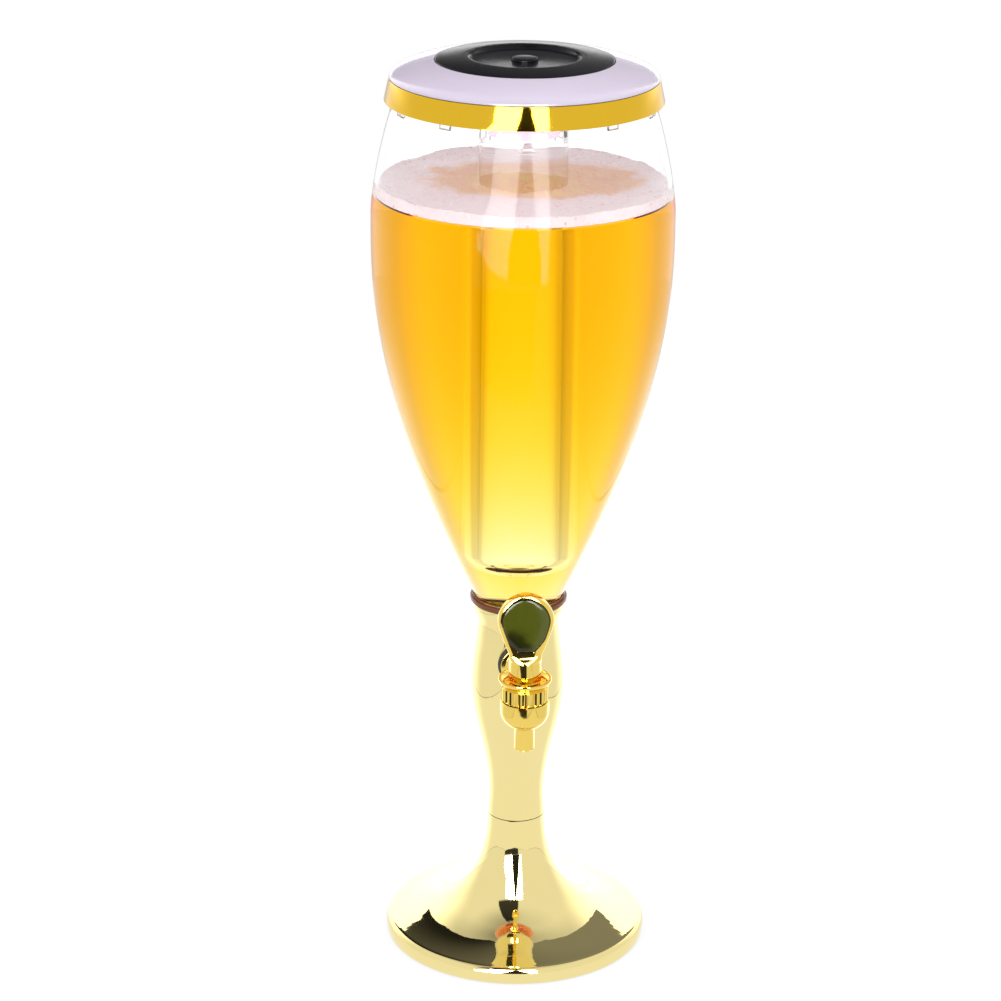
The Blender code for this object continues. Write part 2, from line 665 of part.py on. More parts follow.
def stem_outer_line():
    """Outside of the stem: a slim waist, a long bulge, a throat, and a lip for the bowl."""
    stations = [(FOOT_NECK_RADIUS, 0), (STEM_WAIST_RADIUS, STEM_WAIST_HEIGHT), (STEM_BULGE_RADIUS, STEM_BULGE_HEIGHT),
                (STEM_THROAT_RADIUS, STEM_THROAT_HEIGHT), (STEM_TOP_RADIUS, STEM_LENGTH)]
    line = []
    for start, end, steps in zip(stations, stations[1:], (2, 5, 3, 3)):
        line += swell(start, end, steps)[(1 if line else 0):]
    return [(radius, STEM_BASE + height) for radius, height in line]


def build_stem(tower):
    """Stem column with its tap pad, reservoir cup with its own pad, and the neck seal that laps over its flange."""
    outer = stem_outer_line()
    column = turned(walled(outer, STEM_WALL), STEM_SEGMENTS)
    pad = moved(cylinder(TAP_PAD_RADIUS, CUP_RADIUS + TOUCH_GAP, TAP_PAD_FACE, TAP_SEGMENTS), (0, 0, TAP_HEIGHT),
                TOWARDS_STEM.inverted())
    column = fused(column, pad)
    bore = moved(cylinder(SHANK_RADIUS + TOUCH_GAP, 0, TAP_PAD_FACE + OVERRUN), (0, 0, TAP_HEIGHT),
                 TOWARDS_STEM.inverted())
    piece("stem_column", cut(column, bore), "champagne_plating", tower)

    bottom = CUP_FLANGE_TOP - CUP_DEPTH
    bend = CUP_FLOOR_ROUND * (1 - math.sqrt(0.5))
    bore_radius = CUP_RADIUS - CUP_WALL
    flange_radius = STEM_TOP_RADIUS - STEM_WALL / 2
    flange_bottom = CUP_FLANGE_TOP - CUP_FLANGE_THICKNESS
    outside = [(0, bottom), (CUP_RADIUS - CUP_FLOOR_ROUND, bottom), (CUP_RADIUS - bend, bottom + bend),
               (CUP_RADIUS, bottom + CUP_FLOOR_ROUND), (CUP_RADIUS, flange_bottom), (flange_radius, flange_bottom),
               (flange_radius, CUP_FLANGE_TOP), (bore_radius, CUP_FLANGE_TOP)]
    inside = [(bore_radius, bottom + CUP_FLOOR_ROUND), (bore_radius - bend, bottom + bend + CUP_WALL),
              (bore_radius - CUP_FLOOR_ROUND, bottom + CUP_WALL), (0, bottom + CUP_WALL)]
    cup = turned(outside + inside, STEM_SEGMENTS, closed=False)
    cup_pad = moved(cylinder(CUP_PAD_RADIUS, CUP_PAD_FACE, CUP_RADIUS - CUP_WALL / 2, TAP_SEGMENTS), (0, 0, TAP_HEIGHT),
                    TOWARDS_STEM.inverted())
    pad_room = cylinder(CUP_RADIUS - CUP_WALL / 2, TAP_HEIGHT - 2 * CUP_PAD_RADIUS, TAP_HEIGHT + 2 * CUP_PAD_RADIUS,
                        STEM_SEGMENTS)
    cup = fused(cup, combined(cup_pad, [pad_room], "INTERSECT"))
    cup_bore = moved(cylinder(SHANK_RADIUS + TOUCH_GAP, CUP_PAD_FACE - OVERRUN, CUP_RADIUS + OVERRUN),
                     (0, 0, TAP_HEIGHT), TOWARDS_STEM.inverted())
    piece("reservoir_cup", cut(cup, cup_bore), "white_plastic", tower)

    web_bottom = CUP_FLANGE_TOP + TOUCH_GAP
    bead_bottom = STEM_TOP + TOUCH_GAP
    seal_bore = BOWL_SPIGOT_RADIUS + TURN_GAP
    seal_radius = STEM_TOP_RADIUS + SEAL_PROUD
    lap_radius = flange_radius + TOUCH_GAP
    seal_round = (seal_radius - lap_radius) / 2
    seal = turned([(seal_bore, web_bottom), (lap_radius, web_bottom), (lap_radius, bead_bottom),
                   (seal_radius - seal_round, bead_bottom), (seal_radius, bead_bottom + seal_round),
                   (seal_radius, SEAL_TOP - seal_round), (seal_radius - seal_round, SEAL_TOP), (seal_bore, SEAL_TOP)],
                  STEM_SEGMENTS)
    piece("neck_seal", seal, "seal_rubber", tower)


# Bowl

def bowl_outer_line():
    """Outside of the bowl from above its bead to its rim: a long flare to the belly, then a shoulder."""
    base = BOWL_SEAT + BOWL_BEAD_HEIGHT
    belly = BOWL_SEAT + BOWL_BELLY_HEIGHT
    growth = BOWL_BELLY_RADIUS - BOWL_NECK_RADIUS
    rise = belly - base
    lower = bezier((BOWL_NECK_RADIUS, base),
                   (BOWL_NECK_RADIUS + growth * BOWL_FLARE_SHARES[0], base + rise * BOWL_FLARE_SHARES[1]),
                   (BOWL_BELLY_RADIUS, belly - rise * BOWL_BELLY_SWEEP_SHARE), (BOWL_BELLY_RADIUS, belly), 8)
    shoulder = BOWL_TOP - belly
    draw_in = BOWL_BELLY_RADIUS - BOWL_RIM_RADIUS
    upper = bezier((BOWL_BELLY_RADIUS, belly), (BOWL_BELLY_RADIUS, belly + shoulder * BOWL_SHOULDER_SWEEP_SHARE),
                   (BOWL_RIM_RADIUS + draw_in * BOWL_RIM_HANDLE_SHARES[0],
                    BOWL_TOP - shoulder * BOWL_RIM_HANDLE_SHARES[1]), (BOWL_RIM_RADIUS, BOWL_TOP), 4)
    return lower + upper[1:]


def build_bowl(tower):
    """Clear bowl with a bead that sits on the neck seal and a spigot that goes into the cup."""
    outer = bowl_outer_line()
    inner = offset_line(outer, BOWL_WALL)
    inner[-1] = (BOWL_RIM_RADIUS - BOWL_WALL, BOWL_TOP)
    spigot_bottom = BOWL_SEAT - BOWL_SPIGOT_LENGTH
    spigot_bore = BOWL_SPIGOT_RADIUS - BOWL_SPIGOT_WALL
    bead_round = (BOWL_BEAD_RADIUS - BOWL_NECK_RADIUS) / 2
    bead_top = BOWL_SEAT + BOWL_BEAD_HEIGHT
    bead = [(spigot_bore, spigot_bottom), (BOWL_SPIGOT_RADIUS, spigot_bottom), (BOWL_SPIGOT_RADIUS, BOWL_SEAT),
            (BOWL_BEAD_RADIUS - bead_round, BOWL_SEAT), (BOWL_BEAD_RADIUS, BOWL_SEAT + bead_round),
            (BOWL_BEAD_RADIUS, bead_top - bead_round), (BOWL_BEAD_RADIUS - bead_round, bead_top)]
    lip_height = BOWL_WALL / 2
    rim = [(BOWL_RIM_RADIUS, BOWL_TOP - lip_height), (BOWL_RIM_RADIUS - lip_height, BOWL_TOP),
           (BOWL_RIM_RADIUS - BOWL_WALL, BOWL_TOP - lip_height)]
    throat = (spigot_bore, BOWL_SEAT)
    bowl = turned(bead + outer[:-1] + rim + inner[-2::-1] + [throat])
    piece("bowl", bowl, "clear_plastic", tower)


# Tap

def build_tap_body(tap):
    """Moulded body of the tap: shank and flange, barrel with its valve seat, and spout."""
    spout_bottom = -BARREL_BOTTOM - SPOUT_LENGTH
    bend = bezier((BARREL_FOOT_RADIUS, -BARREL_BOTTOM),
                  (BARREL_FOOT_RADIUS + (BARREL_RADIUS - BARREL_FOOT_RADIUS) * BARREL_ROUND_SHARES[0],
                   -BARREL_BOTTOM * BARREL_ROUND_SHARES[2]),
                  (BARREL_RADIUS, -BARREL_BOTTOM * BARREL_ROUND_SHARES[1]), (BARREL_RADIUS, 0), 5)
    neck_top = BARREL_TOP + BARREL_NECK_LENGTH
    profile = [(0, spout_bottom), (SPOUT_RADIUS, spout_bottom), (SPOUT_RADIUS, -BARREL_BOTTOM)]
    profile += bend
    profile += [(BARREL_RADIUS, BARREL_TOP), (BARREL_NECK_RADIUS, BARREL_TOP), (BARREL_NECK_RADIUS, neck_top),
                (0, neck_top)]
    body = turned(profile, TAP_SEGMENTS, closed=False)

    flange_back = TAP_REACH - TAP_PAD_FACE - 2 * TOUCH_GAP - GASKET_THICKNESS
    flange_front = flange_back - SHANK_FLANGE_THICKNESS
    shank_end = TAP_REACH - SHANK_END
    fillet = (SHANK_FLANGE_RADIUS - SHANK_RADIUS) / 2
    shank = turned([(0, 0), (SHANK_RADIUS, 0), (SHANK_RADIUS, flange_front - fillet),
                    (SHANK_RADIUS + fillet, flange_front), (SHANK_FLANGE_RADIUS, flange_front),
                    (SHANK_FLANGE_RADIUS, flange_back), (SHANK_RADIUS, flange_back), (SHANK_RADIUS, shank_end),
                    (0, shank_end)], TAP_SEGMENTS, closed=False)
    body = fused(body, moved(shank, turn=TOWARDS_STEM))
    chamber = turned([(0, spout_bottom - OVERRUN), (SPOUT_BORE_RADIUS, spout_bottom - OVERRUN),
                      (SPOUT_BORE_RADIUS, -CHAMBER_SEAT_BOTTOM), (CHAMBER_RADIUS, -CHAMBER_SEAT_TOP),
                      (CHAMBER_RADIUS, neck_top + OVERRUN), (0, neck_top + OVERRUN)], TAP_SEGMENTS, closed=False)
    bore = moved(cylinder(SHANK_BORE_RADIUS, 0, shank_end + OVERRUN), turn=TOWARDS_STEM)
    body = cut(body, chamber, bore)
    piece("tap_body", body, "gold_plating", tap)


def build_tap_fixings(tap):
    """Gasket outside the stem, washer and hexagon nut inside the cup."""
    def ring(radius, near, thickness, segments):
        """Flat ring round the shank, whose nearer face is a given distance from the barrel."""
        hole = SHANK_RADIUS + TOUCH_GAP
        shape = turned([(hole, near), (radius, near), (radius, near + thickness), (hole, near + thickness)], segments)
        return moved(shape, turn=TOWARDS_STEM)

    gasket_near = TAP_REACH - TAP_PAD_FACE - TOUCH_GAP - GASKET_THICKNESS
    piece("tap_gasket", ring(GASKET_RADIUS, gasket_near, GASKET_THICKNESS, TAP_SEGMENTS), "black_rubber", tap)
    washer_near = TAP_REACH - CUP_PAD_FACE + TOUCH_GAP
    piece("tap_inner_washer", ring(NUT_RADIUS, washer_near, WASHER_THICKNESS, TAP_SEGMENTS), "silicone", tap)
    nut_near = washer_near + WASHER_THICKNESS + TOUCH_GAP
    nut = cylinder(NUT_RADIUS, nut_near, nut_near + NUT_THICKNESS, 6)
    thread = cylinder(SHANK_RADIUS + TOUCH_GAP, nut_near - OVERRUN, nut_near + NUT_THICKNESS + OVERRUN)
    piece("tap_lock_nut", moved(cut(nut, thread), turn=TOWARDS_STEM), "white_plastic", tap)


def build_bonnet(tap):
    """Ribbed ring that closes the barrel and flares into the dish that the handle rocks in."""
    rod_bore = VALVE_ROD_RADIUS + TOUCH_GAP
    thread = BARREL_NECK_RADIUS + TOUCH_GAP
    guide_bottom = BONNET_UNDERSIDE - GUIDE_LENGTH
    rim_top = BONNET_GRIP_TOP + BONNET_RIM_RISE
    rim_inner = BONNET_RIM_RADIUS - BONNET_RIM_THICKNESS
    flare = bezier((BONNET_RADIUS, BONNET_GRIP_TOP), (BONNET_RADIUS, BONNET_GRIP_TOP + BONNET_RIM_RISE / 2),
                   (BONNET_RIM_RADIUS, BONNET_GRIP_TOP + BONNET_RIM_RISE / 2),
                   (BONNET_RIM_RADIUS, rim_top - BONNET_RIM_THICKNESS), 3)
    rise = rim_top - BONNET_FLOOR
    dish = bezier((rim_inner, rim_top), (rim_inner, rim_top - rise / 2), (BONNET_DISH_RADIUS + rise / 2, BONNET_FLOOR),
                  (BONNET_DISH_RADIUS, BONNET_FLOOR), 4)
    profile = [(thread, BONNET_BOTTOM), (BONNET_RADIUS, BONNET_BOTTOM)] + flare
    profile += dish + [(rod_bore, BONNET_FLOOR), (rod_bore, guide_bottom), (GUIDE_RADIUS, guide_bottom),
                       (GUIDE_RADIUS, BONNET_UNDERSIDE), (thread, BONNET_UNDERSIDE)]
    bonnet = turned(profile, STEM_SEGMENTS)
    margin = BONNET_RIB_WIDTH / 2
    rib_low = (BONNET_RADIUS - BONNET_RIB_DEPTH, -margin, BONNET_BOTTOM + margin)
    rib_high = (BONNET_RADIUS + BONNET_RIB_DEPTH, margin, BONNET_GRIP_TOP)
    ribs = [moved(block(rib_low, rib_high), turn=Matrix.Rotation(math.tau * index / BONNET_RIB_COUNT, 4, "Z"))
            for index in range(BONNET_RIB_COUNT)]
    piece("tap_bonnet", fused(bonnet, joined(ribs)), "gold_plating", tap)


def build_valve(valve):
    """Valve rod with its spring flange, the silicone seal on its foot, and the handle's pin."""
    seal_top = VALVE_FLANGE_BOTTOM - TOUCH_GAP
    rod_top = PIN_HEIGHT + VALVE_ROD_ABOVE_PIN
    knob = seal_top - VALVE_KNOB_LENGTH
    flange_top = VALVE_FLANGE_BOTTOM + VALVE_FLANGE_THICKNESS
    rod = turned([(0, knob), (VALVE_ROD_RADIUS, knob), (VALVE_ROD_RADIUS, VALVE_FLANGE_BOTTOM),
                  (VALVE_FLANGE_RADIUS, VALVE_FLANGE_BOTTOM), (VALVE_FLANGE_RADIUS, flange_top),
                  (VALVE_ROD_RADIUS, flange_top), (VALVE_ROD_RADIUS, rod_top), (0, rod_top)],
                 SMALL_SEGMENTS, closed=False)
    hole = moved(cylinder(PIN_RADIUS + PIN_GAP, -VALVE_ROD_RADIUS - OVERRUN, VALVE_ROD_RADIUS + OVERRUN, 12),
                 (0, 0, PIN_HEIGHT), ALONG_X)
    piece("valve_stem", cut(rod, hole), "steel", valve)

    seal_radius = CHAMBER_RADIUS - TURN_GAP - TOUCH_GAP
    socket = VALVE_ROD_RADIUS + TOUCH_GAP
    skirt = seal_top - SEAL_SKIRT_HEIGHT
    seat_slope = (CHAMBER_RADIUS - SPOUT_BORE_RADIUS) / (CHAMBER_SEAT_BOTTOM - CHAMBER_SEAT_TOP)
    tip = skirt - (seal_radius - SEAL_TIP_RADIUS) / seat_slope
    socket_floor = knob - TOUCH_GAP
    seal = turned([(0, tip), (SEAL_TIP_RADIUS, tip), (seal_radius, skirt), (seal_radius, seal_top),
                   (socket, seal_top), (socket, socket_floor), (0, socket_floor)], TAP_SEGMENTS, closed=False)
    piece("valve_seal", seal, "silicone", valve)

    reach = HANDLE_HUB_RADIUS - PIN_SHORTFALL
    pin = moved(cylinder(PIN_RADIUS, -reach, reach, 12), (0, 0, PIN_HEIGHT), ALONG_X)
    piece("handle_pin", pin, "steel", valve)


def paddle_half_width(height):
    """Half the width of the paddle at a height over the pin: a tapered lower part under a round top."""
    middle = PADDLE_TOP - PADDLE_HALF_WIDTH
    if height >= middle:
        return math.sqrt(max(PADDLE_HALF_WIDTH ** 2 - (height - middle) ** 2, 0))
    drop = (middle - height) / (middle - PADDLE_BOTTOM)
    return PADDLE_HALF_WIDTH - (PADDLE_HALF_WIDTH - HANDLE_HUB_RADIUS) * drop ** PADDLE_TAPER_POWER


def handle_section(half_width, front, back, front_power, back_power, height):
    """Closed section of the handle: its front and back halves are squared off by different powers."""
    middle = (back - front) / 2
    depth = (back + front) / 2
    section = []
    for index in range(HANDLE_POINTS):
        angle = math.tau * index / HANDLE_POINTS
        across = math.cos(angle)
        along = math.sin(angle)
        power = back_power if along > 0 else front_power
        x = half_width * math.copysign(abs(across) ** (2 / power), across)
        y = middle + depth * math.copysign(abs(along) ** (2 / power), along)
        section.append((x, y, height))
    return section


def paddle_outline(shrink, height_steps=7, arc_steps=12):
    """Closed (x, z) outline inside the paddle's edge, drawn in by shrink all round."""
    middle = PADDLE_TOP - PADDLE_HALF_WIDTH
    low = PADDLE_BOTTOM + PADDLE_BORDER + shrink - PADDLE_BORDER
    radius = PADDLE_HALF_WIDTH - shrink
    side = []
    for step in range(height_steps):
        height = low + (middle - low) * step / height_steps
        corner = 1 - POCKET_CORNER_SHARE * max(1 - 2 * step / height_steps, 0) ** 2
        side.append(((paddle_half_width(height) - shrink) * corner, height))
    arc = [(radius * math.cos(math.pi * step / arc_steps), middle + radius * math.sin(math.pi * step / arc_steps))
           for step in range(arc_steps + 1)]
    return side + arc + [(-x, z) for x, z in side[::-1]]


def build_handle(handle):
    """Upright lever: a round hub whose heel rocks on the dish, and a paddle with a glossy insert."""
    heel = -HANDLE_HEEL
    back = PADDLE_THICKNESS - PADDLE_FRONT
    sections = []
    for step in range(3):
        lean = math.pi / 2 * step / 2
        radius = HANDLE_HUB_RADIUS - HANDLE_HEEL_ROUND * (1 - math.sin(lean))
        height = heel + HANDLE_HEEL_ROUND * (1 - math.cos(lean))
        sections.append(handle_section(radius, radius, radius, 2, 2, height))
    blend_steps = 4
    for step in range(blend_steps + 1):
        t = step / blend_steps
        ease = t * t * (3 - 2 * t)
        height = HANDLE_NECK_TOP + (PADDLE_BOTTOM - HANDLE_NECK_TOP) * t
        front = HANDLE_HUB_RADIUS + (PADDLE_FRONT - HANDLE_HUB_RADIUS) * ease
        rear = HANDLE_HUB_RADIUS + (back - HANDLE_HUB_RADIUS) * ease
        front_power = 2 + (PADDLE_FRONT_SQUARENESS - 2) * ease
        back_power = 2 + (PADDLE_BACK_SQUARENESS - 2) * ease
        sections.append(handle_section(HANDLE_HUB_RADIUS, front, rear, front_power, back_power, height))
    middle = PADDLE_TOP - PADDLE_HALF_WIDTH
    taper_steps = 5
    for step in range(1, taper_steps + 1):
        height = PADDLE_BOTTOM + (middle - PADDLE_BOTTOM) * step / taper_steps
        sections.append(handle_section(paddle_half_width(height), PADDLE_FRONT, back, PADDLE_FRONT_SQUARENESS,
                                       PADDLE_BACK_SQUARENESS, height))
    top_steps = 7
    edge_round = PADDLE_THICKNESS / 2
    for step in range(1, top_steps):
        lean = math.pi / 2 * step / top_steps
        height = middle + PADDLE_HALF_WIDTH * math.sin(lean)
        half_width = PADDLE_HALF_WIDTH * math.cos(lean)
        thin = min(half_width / PADDLE_HALF_WIDTH + PADDLE_TIP_THICKNESS_SHARE, 1)
        centre = (back - PADDLE_FRONT) / 2
        sections.append(handle_section(half_width, edge_round * thin - centre, edge_round * thin + centre,
                                       PADDLE_FRONT_SQUARENESS, PADDLE_BACK_SQUARENESS, height))
    lever = loft(sections)

    def prism(outline, near, far):
        """Flat solid of an (x, z) outline between two depths."""
        return loft([[(x, depth, z) for x, z in outline] for depth in (near, far)])

    pocket = prism(paddle_outline(PADDLE_BORDER), -PADDLE_FRONT - OVERRUN, -PADDLE_FRONT + POCKET_DEPTH)
    slot_side = VALVE_ROD_RADIUS + TOUCH_GAP
    slot_front = HANDLE_HEEL * math.tan(HANDLE_TILT) + slot_side / math.cos(HANDLE_TILT)
    slot_top = math.hypot(VALVE_ROD_ABOVE_PIN, VALVE_ROD_RADIUS) + TOUCH_GAP
    slot_back = slot_top
    slot = block((-slot_side, -slot_front, heel - OVERRUN), (slot_side, slot_back, slot_top))
    reach = HANDLE_HUB_RADIUS + OVERRUN
    pin_hole = moved(cylinder(PIN_RADIUS + PIN_GAP, -reach, reach, 12), turn=ALONG_X)
    piece("tap_handle", cut(lever, pocket, slot, pin_hole), "gold_plating", handle)

    floor = -PADDLE_FRONT + POCKET_DEPTH - TOUCH_GAP
    fit = PADDLE_BORDER + TOUCH_GAP
    edge = [(x, -PADDLE_FRONT, z) for x, z in paddle_outline(fit)]
    base = [(x, floor, z) for x, z in paddle_outline(fit)]
    crown = [(x, -PADDLE_FRONT - INSERT_CROWN, z) for x, z in paddle_outline(fit + 3 * INSERT_CROWN)]
    piece("handle_insert", loft([base, edge, crown]), "green_gloss", handle)


def build_tap(tower):
    """The whole tap on the stem, with its valve and its handle on frames of their own."""
    tap = body_frame("tap_frame", tower, (0, -TAP_REACH, TAP_HEIGHT))
    build_tap_body(tap)
    build_tap_fixings(tap)
    build_bonnet(tap)
    valve = body_frame("valve_frame", tap)
    build_valve(valve)
    spring_bottom = VALVE_FLANGE_BOTTOM + VALVE_FLANGE_THICKNESS + TOUCH_GAP
    spring = coil("valve_spring", VALVE_SPRING_MEAN_RADIUS, VALVE_SPRING_WIRE_RADIUS, VALVE_SPRING_CURLS, spring_bottom,
                  BONNET_UNDERSIDE - TOUCH_GAP)
    piece("valve_spring", spring, "steel", tap)
    build_handle(body_frame("handle_pivot", valve, (0, 0, PIN_HEIGHT)))


# Lid

def lug_radii():
    """Inside and outside radius of the lugs at their foot, clear of the bowl and leaning out from its rim."""
    beside_foot = radius_at(bowl_outer_line(), LID_SEAT - BAND_DROP - LUG_PROUD)
    inner = max(beside_foot, BOWL_RIM_RADIUS + LUG_LEAN) + TOUCH_GAP
    return inner, inner + LUG_THICKNESS


def band_radius(height):
    """Outside radius of the gold band at a height over the lid's seat; its foot leaves room for the lugs."""
    foot_bore = (lug_radii()[1] + TOUCH_GAP) / flat_radius(1, LARGE_SEGMENTS)
    return foot_bore + BAND_WALL - BAND_TAPER * (height + BAND_DROP) / BAND_HEIGHT


def build_lid_ring(lid):
    """Clear ring that sits on the bowl's rim: an inner skirt, outer lugs, and bosses for the screws."""
    inner_radius = TRAY_RADIUS + TURN_GAP
    outer_radius = band_radius(LID_RING_THICKNESS) - BAND_WALL - TOUCH_GAP
    skirt_outer = BOWL_RIM_RADIUS - BOWL_WALL - LID_PLAY
    skirt_inner = skirt_outer - LID_SKIRT_WALL
    ring = turned([(inner_radius, 0), (skirt_inner, 0), (skirt_inner, -LID_SKIRT_DEPTH), (skirt_outer, -LID_SKIRT_DEPTH),
                   (skirt_outer, 0), (outer_radius, 0), (outer_radius, LID_RING_THICKNESS),
                   (inner_radius, LID_RING_THICKNESS)])
    lug_bottom = -BAND_DROP - LUG_PROUD
    lug_middle = LID_RING_THICKNESS / 2
    lug_top_radius = BOWL_RIM_RADIUS + TOUCH_GAP
    lug_inner, lug_outer = lug_radii()
    profile = [(lug_inner, lug_bottom), (lug_outer - TOUCH_GAP, lug_bottom), (lug_outer, -BAND_DROP),
               (flat_radius(outer_radius, LARGE_SEGMENTS), lug_middle), (lug_top_radius, lug_middle)]
    lugs = [arc_block(profile, angle, LUG_SPAN, 1) for angle in LUG_ANGLES]
    places = around(LID_SCREW_COUNT, LID_SCREW_CIRCLE, math.pi / 2)
    bosses = [moved(cylinder(BOSS_RADIUS, LID_RING_THICKNESS / 2, LID_RING_THICKNESS + LID_BOSS_HEIGHT), (x, y, 0))
              for x, y in places]
    ring = fused(ring, joined(lugs), joined(bosses))
    bore_top = PLUG_FLANGE_BOTTOM + LID_SCREW_LENGTH + TOUCH_GAP
    bores = [moved(cylinder(SCREW_RADIUS + TOUCH_GAP, -OVERRUN, bore_top), (x, y, 0)) for x, y in places]
    piece("lid_ring", cut(ring, joined(bores)), "clear_plastic", lid)


def build_lid_shell(lid):
    """Pearl dome with a lip over the gold band and a ledge for the centre cap, and the band itself."""
    band_bottom = -BAND_DROP
    band_top = BAND_HEIGHT - BAND_DROP
    foot_radius = band_radius(band_bottom)
    top_radius = band_radius(band_top)
    band = turned([(foot_radius - BAND_WALL, band_bottom), (foot_radius, band_bottom), (top_radius, band_top),
                   (top_radius - BAND_WALL, band_top)])
    piece("lid_band", band, "gold_plating", lid)

    neck_radius = top_radius - BAND_WALL - TOUCH_GAP
    lip_height = band_top + TOUCH_GAP
    width = top_radius - LEDGE_OUTER_RADIUS
    rise = DOME_CROWN_HEIGHT - lip_height
    curve = bezier((top_radius, lip_height), (top_radius, lip_height + rise * DOME_EDGE_RISE_SHARE),
                   (LEDGE_OUTER_RADIUS + width * DOME_CROWN_HANDLE_SHARES[0],
                    DOME_CROWN_HEIGHT - rise * DOME_CROWN_HANDLE_SHARES[1]), (LEDGE_OUTER_RADIUS, DOME_CROWN_HEIGHT), 5)
    under = offset_line(curve, DOME_WALL)
    ledge_bottom = LEDGE_TOP - LEDGE_THICKNESS
    ledge_root = LEDGE_OUTER_RADIUS + DOME_WALL
    bore = neck_radius - DOME_WALL
    under = [point for point in under if point[0] > ledge_root and point[0] < bore]
    profile = [(neck_radius, DOME_BOTTOM), (neck_radius, lip_height)] + curve
    profile += [(LEDGE_OUTER_RADIUS, LEDGE_TOP), (LEDGE_INNER_RADIUS, LEDGE_TOP), (LEDGE_INNER_RADIUS, ledge_bottom),
                (ledge_root, ledge_bottom)]
    profile += under[::-1]
    profile += [(bore, lip_height), (bore, DOME_BOTTOM)]
    dome = turned(profile)
    span = CAP_TAB_SPAN + 2 * NOTCH_MARGIN
    reach = CAP_SKIRT_RADIUS + CAP_TAB_REACH + TURN_GAP
    notch = [(LEDGE_INNER_RADIUS - OVERRUN, ledge_bottom - OVERRUN), (reach, ledge_bottom - OVERRUN),
             (reach, LEDGE_TOP + LEDGE_DROP / 2), (LEDGE_INNER_RADIUS - OVERRUN, LEDGE_TOP + LEDGE_DROP / 2)]
    notches = [arc_block(notch, math.tau * index / CAP_TAB_COUNT + CAP_TWIST, span) for index in range(CAP_TAB_COUNT)]
    piece("lid_dome", cut(dome, joined(notches)), "pearl_plastic", lid)


def build_cap(cap):
    """Black centre cap with a dished finger recess, a hole for the button, and a three-tab bayonet."""
    edge_top = CAP_BOTTOM + CAP_EDGE_HEIGHT
    bevel = CAP_EDGE_HEIGHT / 4
    hole = BUTTON_RADIUS + TOUCH_GAP
    inner_skirt = CAP_SKIRT_RADIUS - CAP_SKIRT_WALL
    top = [(CAP_RADIUS, CAP_BOTTOM), (CAP_RADIUS, edge_top - bevel), (CAP_RADIUS - bevel, edge_top)]
    crown = (CAP_CROWN_RADIUS, CAP_CROWN)
    dish = [(CAP_CROWN_RADIUS - DISH_LIP, CAP_CROWN), (DISH_RADIUS, DISH_FLOOR), (hole, DISH_FLOOR)]
    slope = (CAP_CROWN - edge_top) / (CAP_RADIUS - CAP_CROWN_RADIUS)
    under_skirt = edge_top + slope * (CAP_RADIUS - inner_skirt) - CAP_WALL
    underside = [(hole, CAP_UNDERSIDE), (DISH_RADIUS + DISH_LIP / 2, CAP_UNDERSIDE),
                 (CAP_CROWN_RADIUS, CAP_CROWN - CAP_WALL), (inner_skirt, under_skirt)]
    skirt = [(inner_skirt, CAP_SKIRT_BOTTOM), (CAP_SKIRT_RADIUS, CAP_SKIRT_BOTTOM), (CAP_SKIRT_RADIUS, CAP_BOTTOM)]
    shape = turned(top + [crown] + dish + underside + skirt)
    tab_bottom = LEDGE_TOP - LEDGE_THICKNESS - TURN_GAP - CAP_TAB_HEIGHT
    tab_inner = CAP_SKIRT_RADIUS - CAP_SKIRT_WALL / 2
    tab_outer = CAP_SKIRT_RADIUS + CAP_TAB_REACH
    tab = [(tab_inner, tab_bottom), (tab_outer, tab_bottom), (tab_outer, tab_bottom + CAP_TAB_HEIGHT),
           (tab_inner, tab_bottom + CAP_TAB_HEIGHT)]
    tabs = [arc_block(tab, math.tau * index / CAP_TAB_COUNT, CAP_TAB_SPAN) for index in range(CAP_TAB_COUNT)]
    piece("centre_cap", fused(shape, joined(tabs)), "black_plastic", cap)


def build_button(button):
    """Push button in the middle of the cap, hollow underneath for its spring."""
    top = DISH_FLOOR + BUTTON_PROUD
    flange_top = CAP_UNDERSIDE - TOUCH_GAP
    flange_bottom = flange_top - BUTTON_FLANGE_THICKNESS
    flange_radius = BUTTON_RADIUS + BUTTON_FLANGE_WIDTH
    bore = BUTTON_RADIUS - BUTTON_WALL
    ceiling = top - BUTTON_CROWN - BUTTON_WALL
    tip = BOARD_TOP + 2 * TOUCH_GAP + SWITCH_HEIGHT + BUTTON_TRAVEL
    shape = turned([(0, tip), (BUTTON_PLUNGER_RADIUS, tip), (BUTTON_PLUNGER_RADIUS, ceiling), (bore, ceiling),
                    (bore, flange_bottom), (flange_radius, flange_bottom), (flange_radius, flange_top),
                    (BUTTON_RADIUS, flange_top), (BUTTON_RADIUS, top - BUTTON_CROWN),
                    (BUTTON_RADIUS - BUTTON_CROWN, top - BUTTON_CROWN / 3), (0, top)], TAP_SEGMENTS, closed=False)
    piece("light_button", shape, "black_plastic", button)
    return ceiling


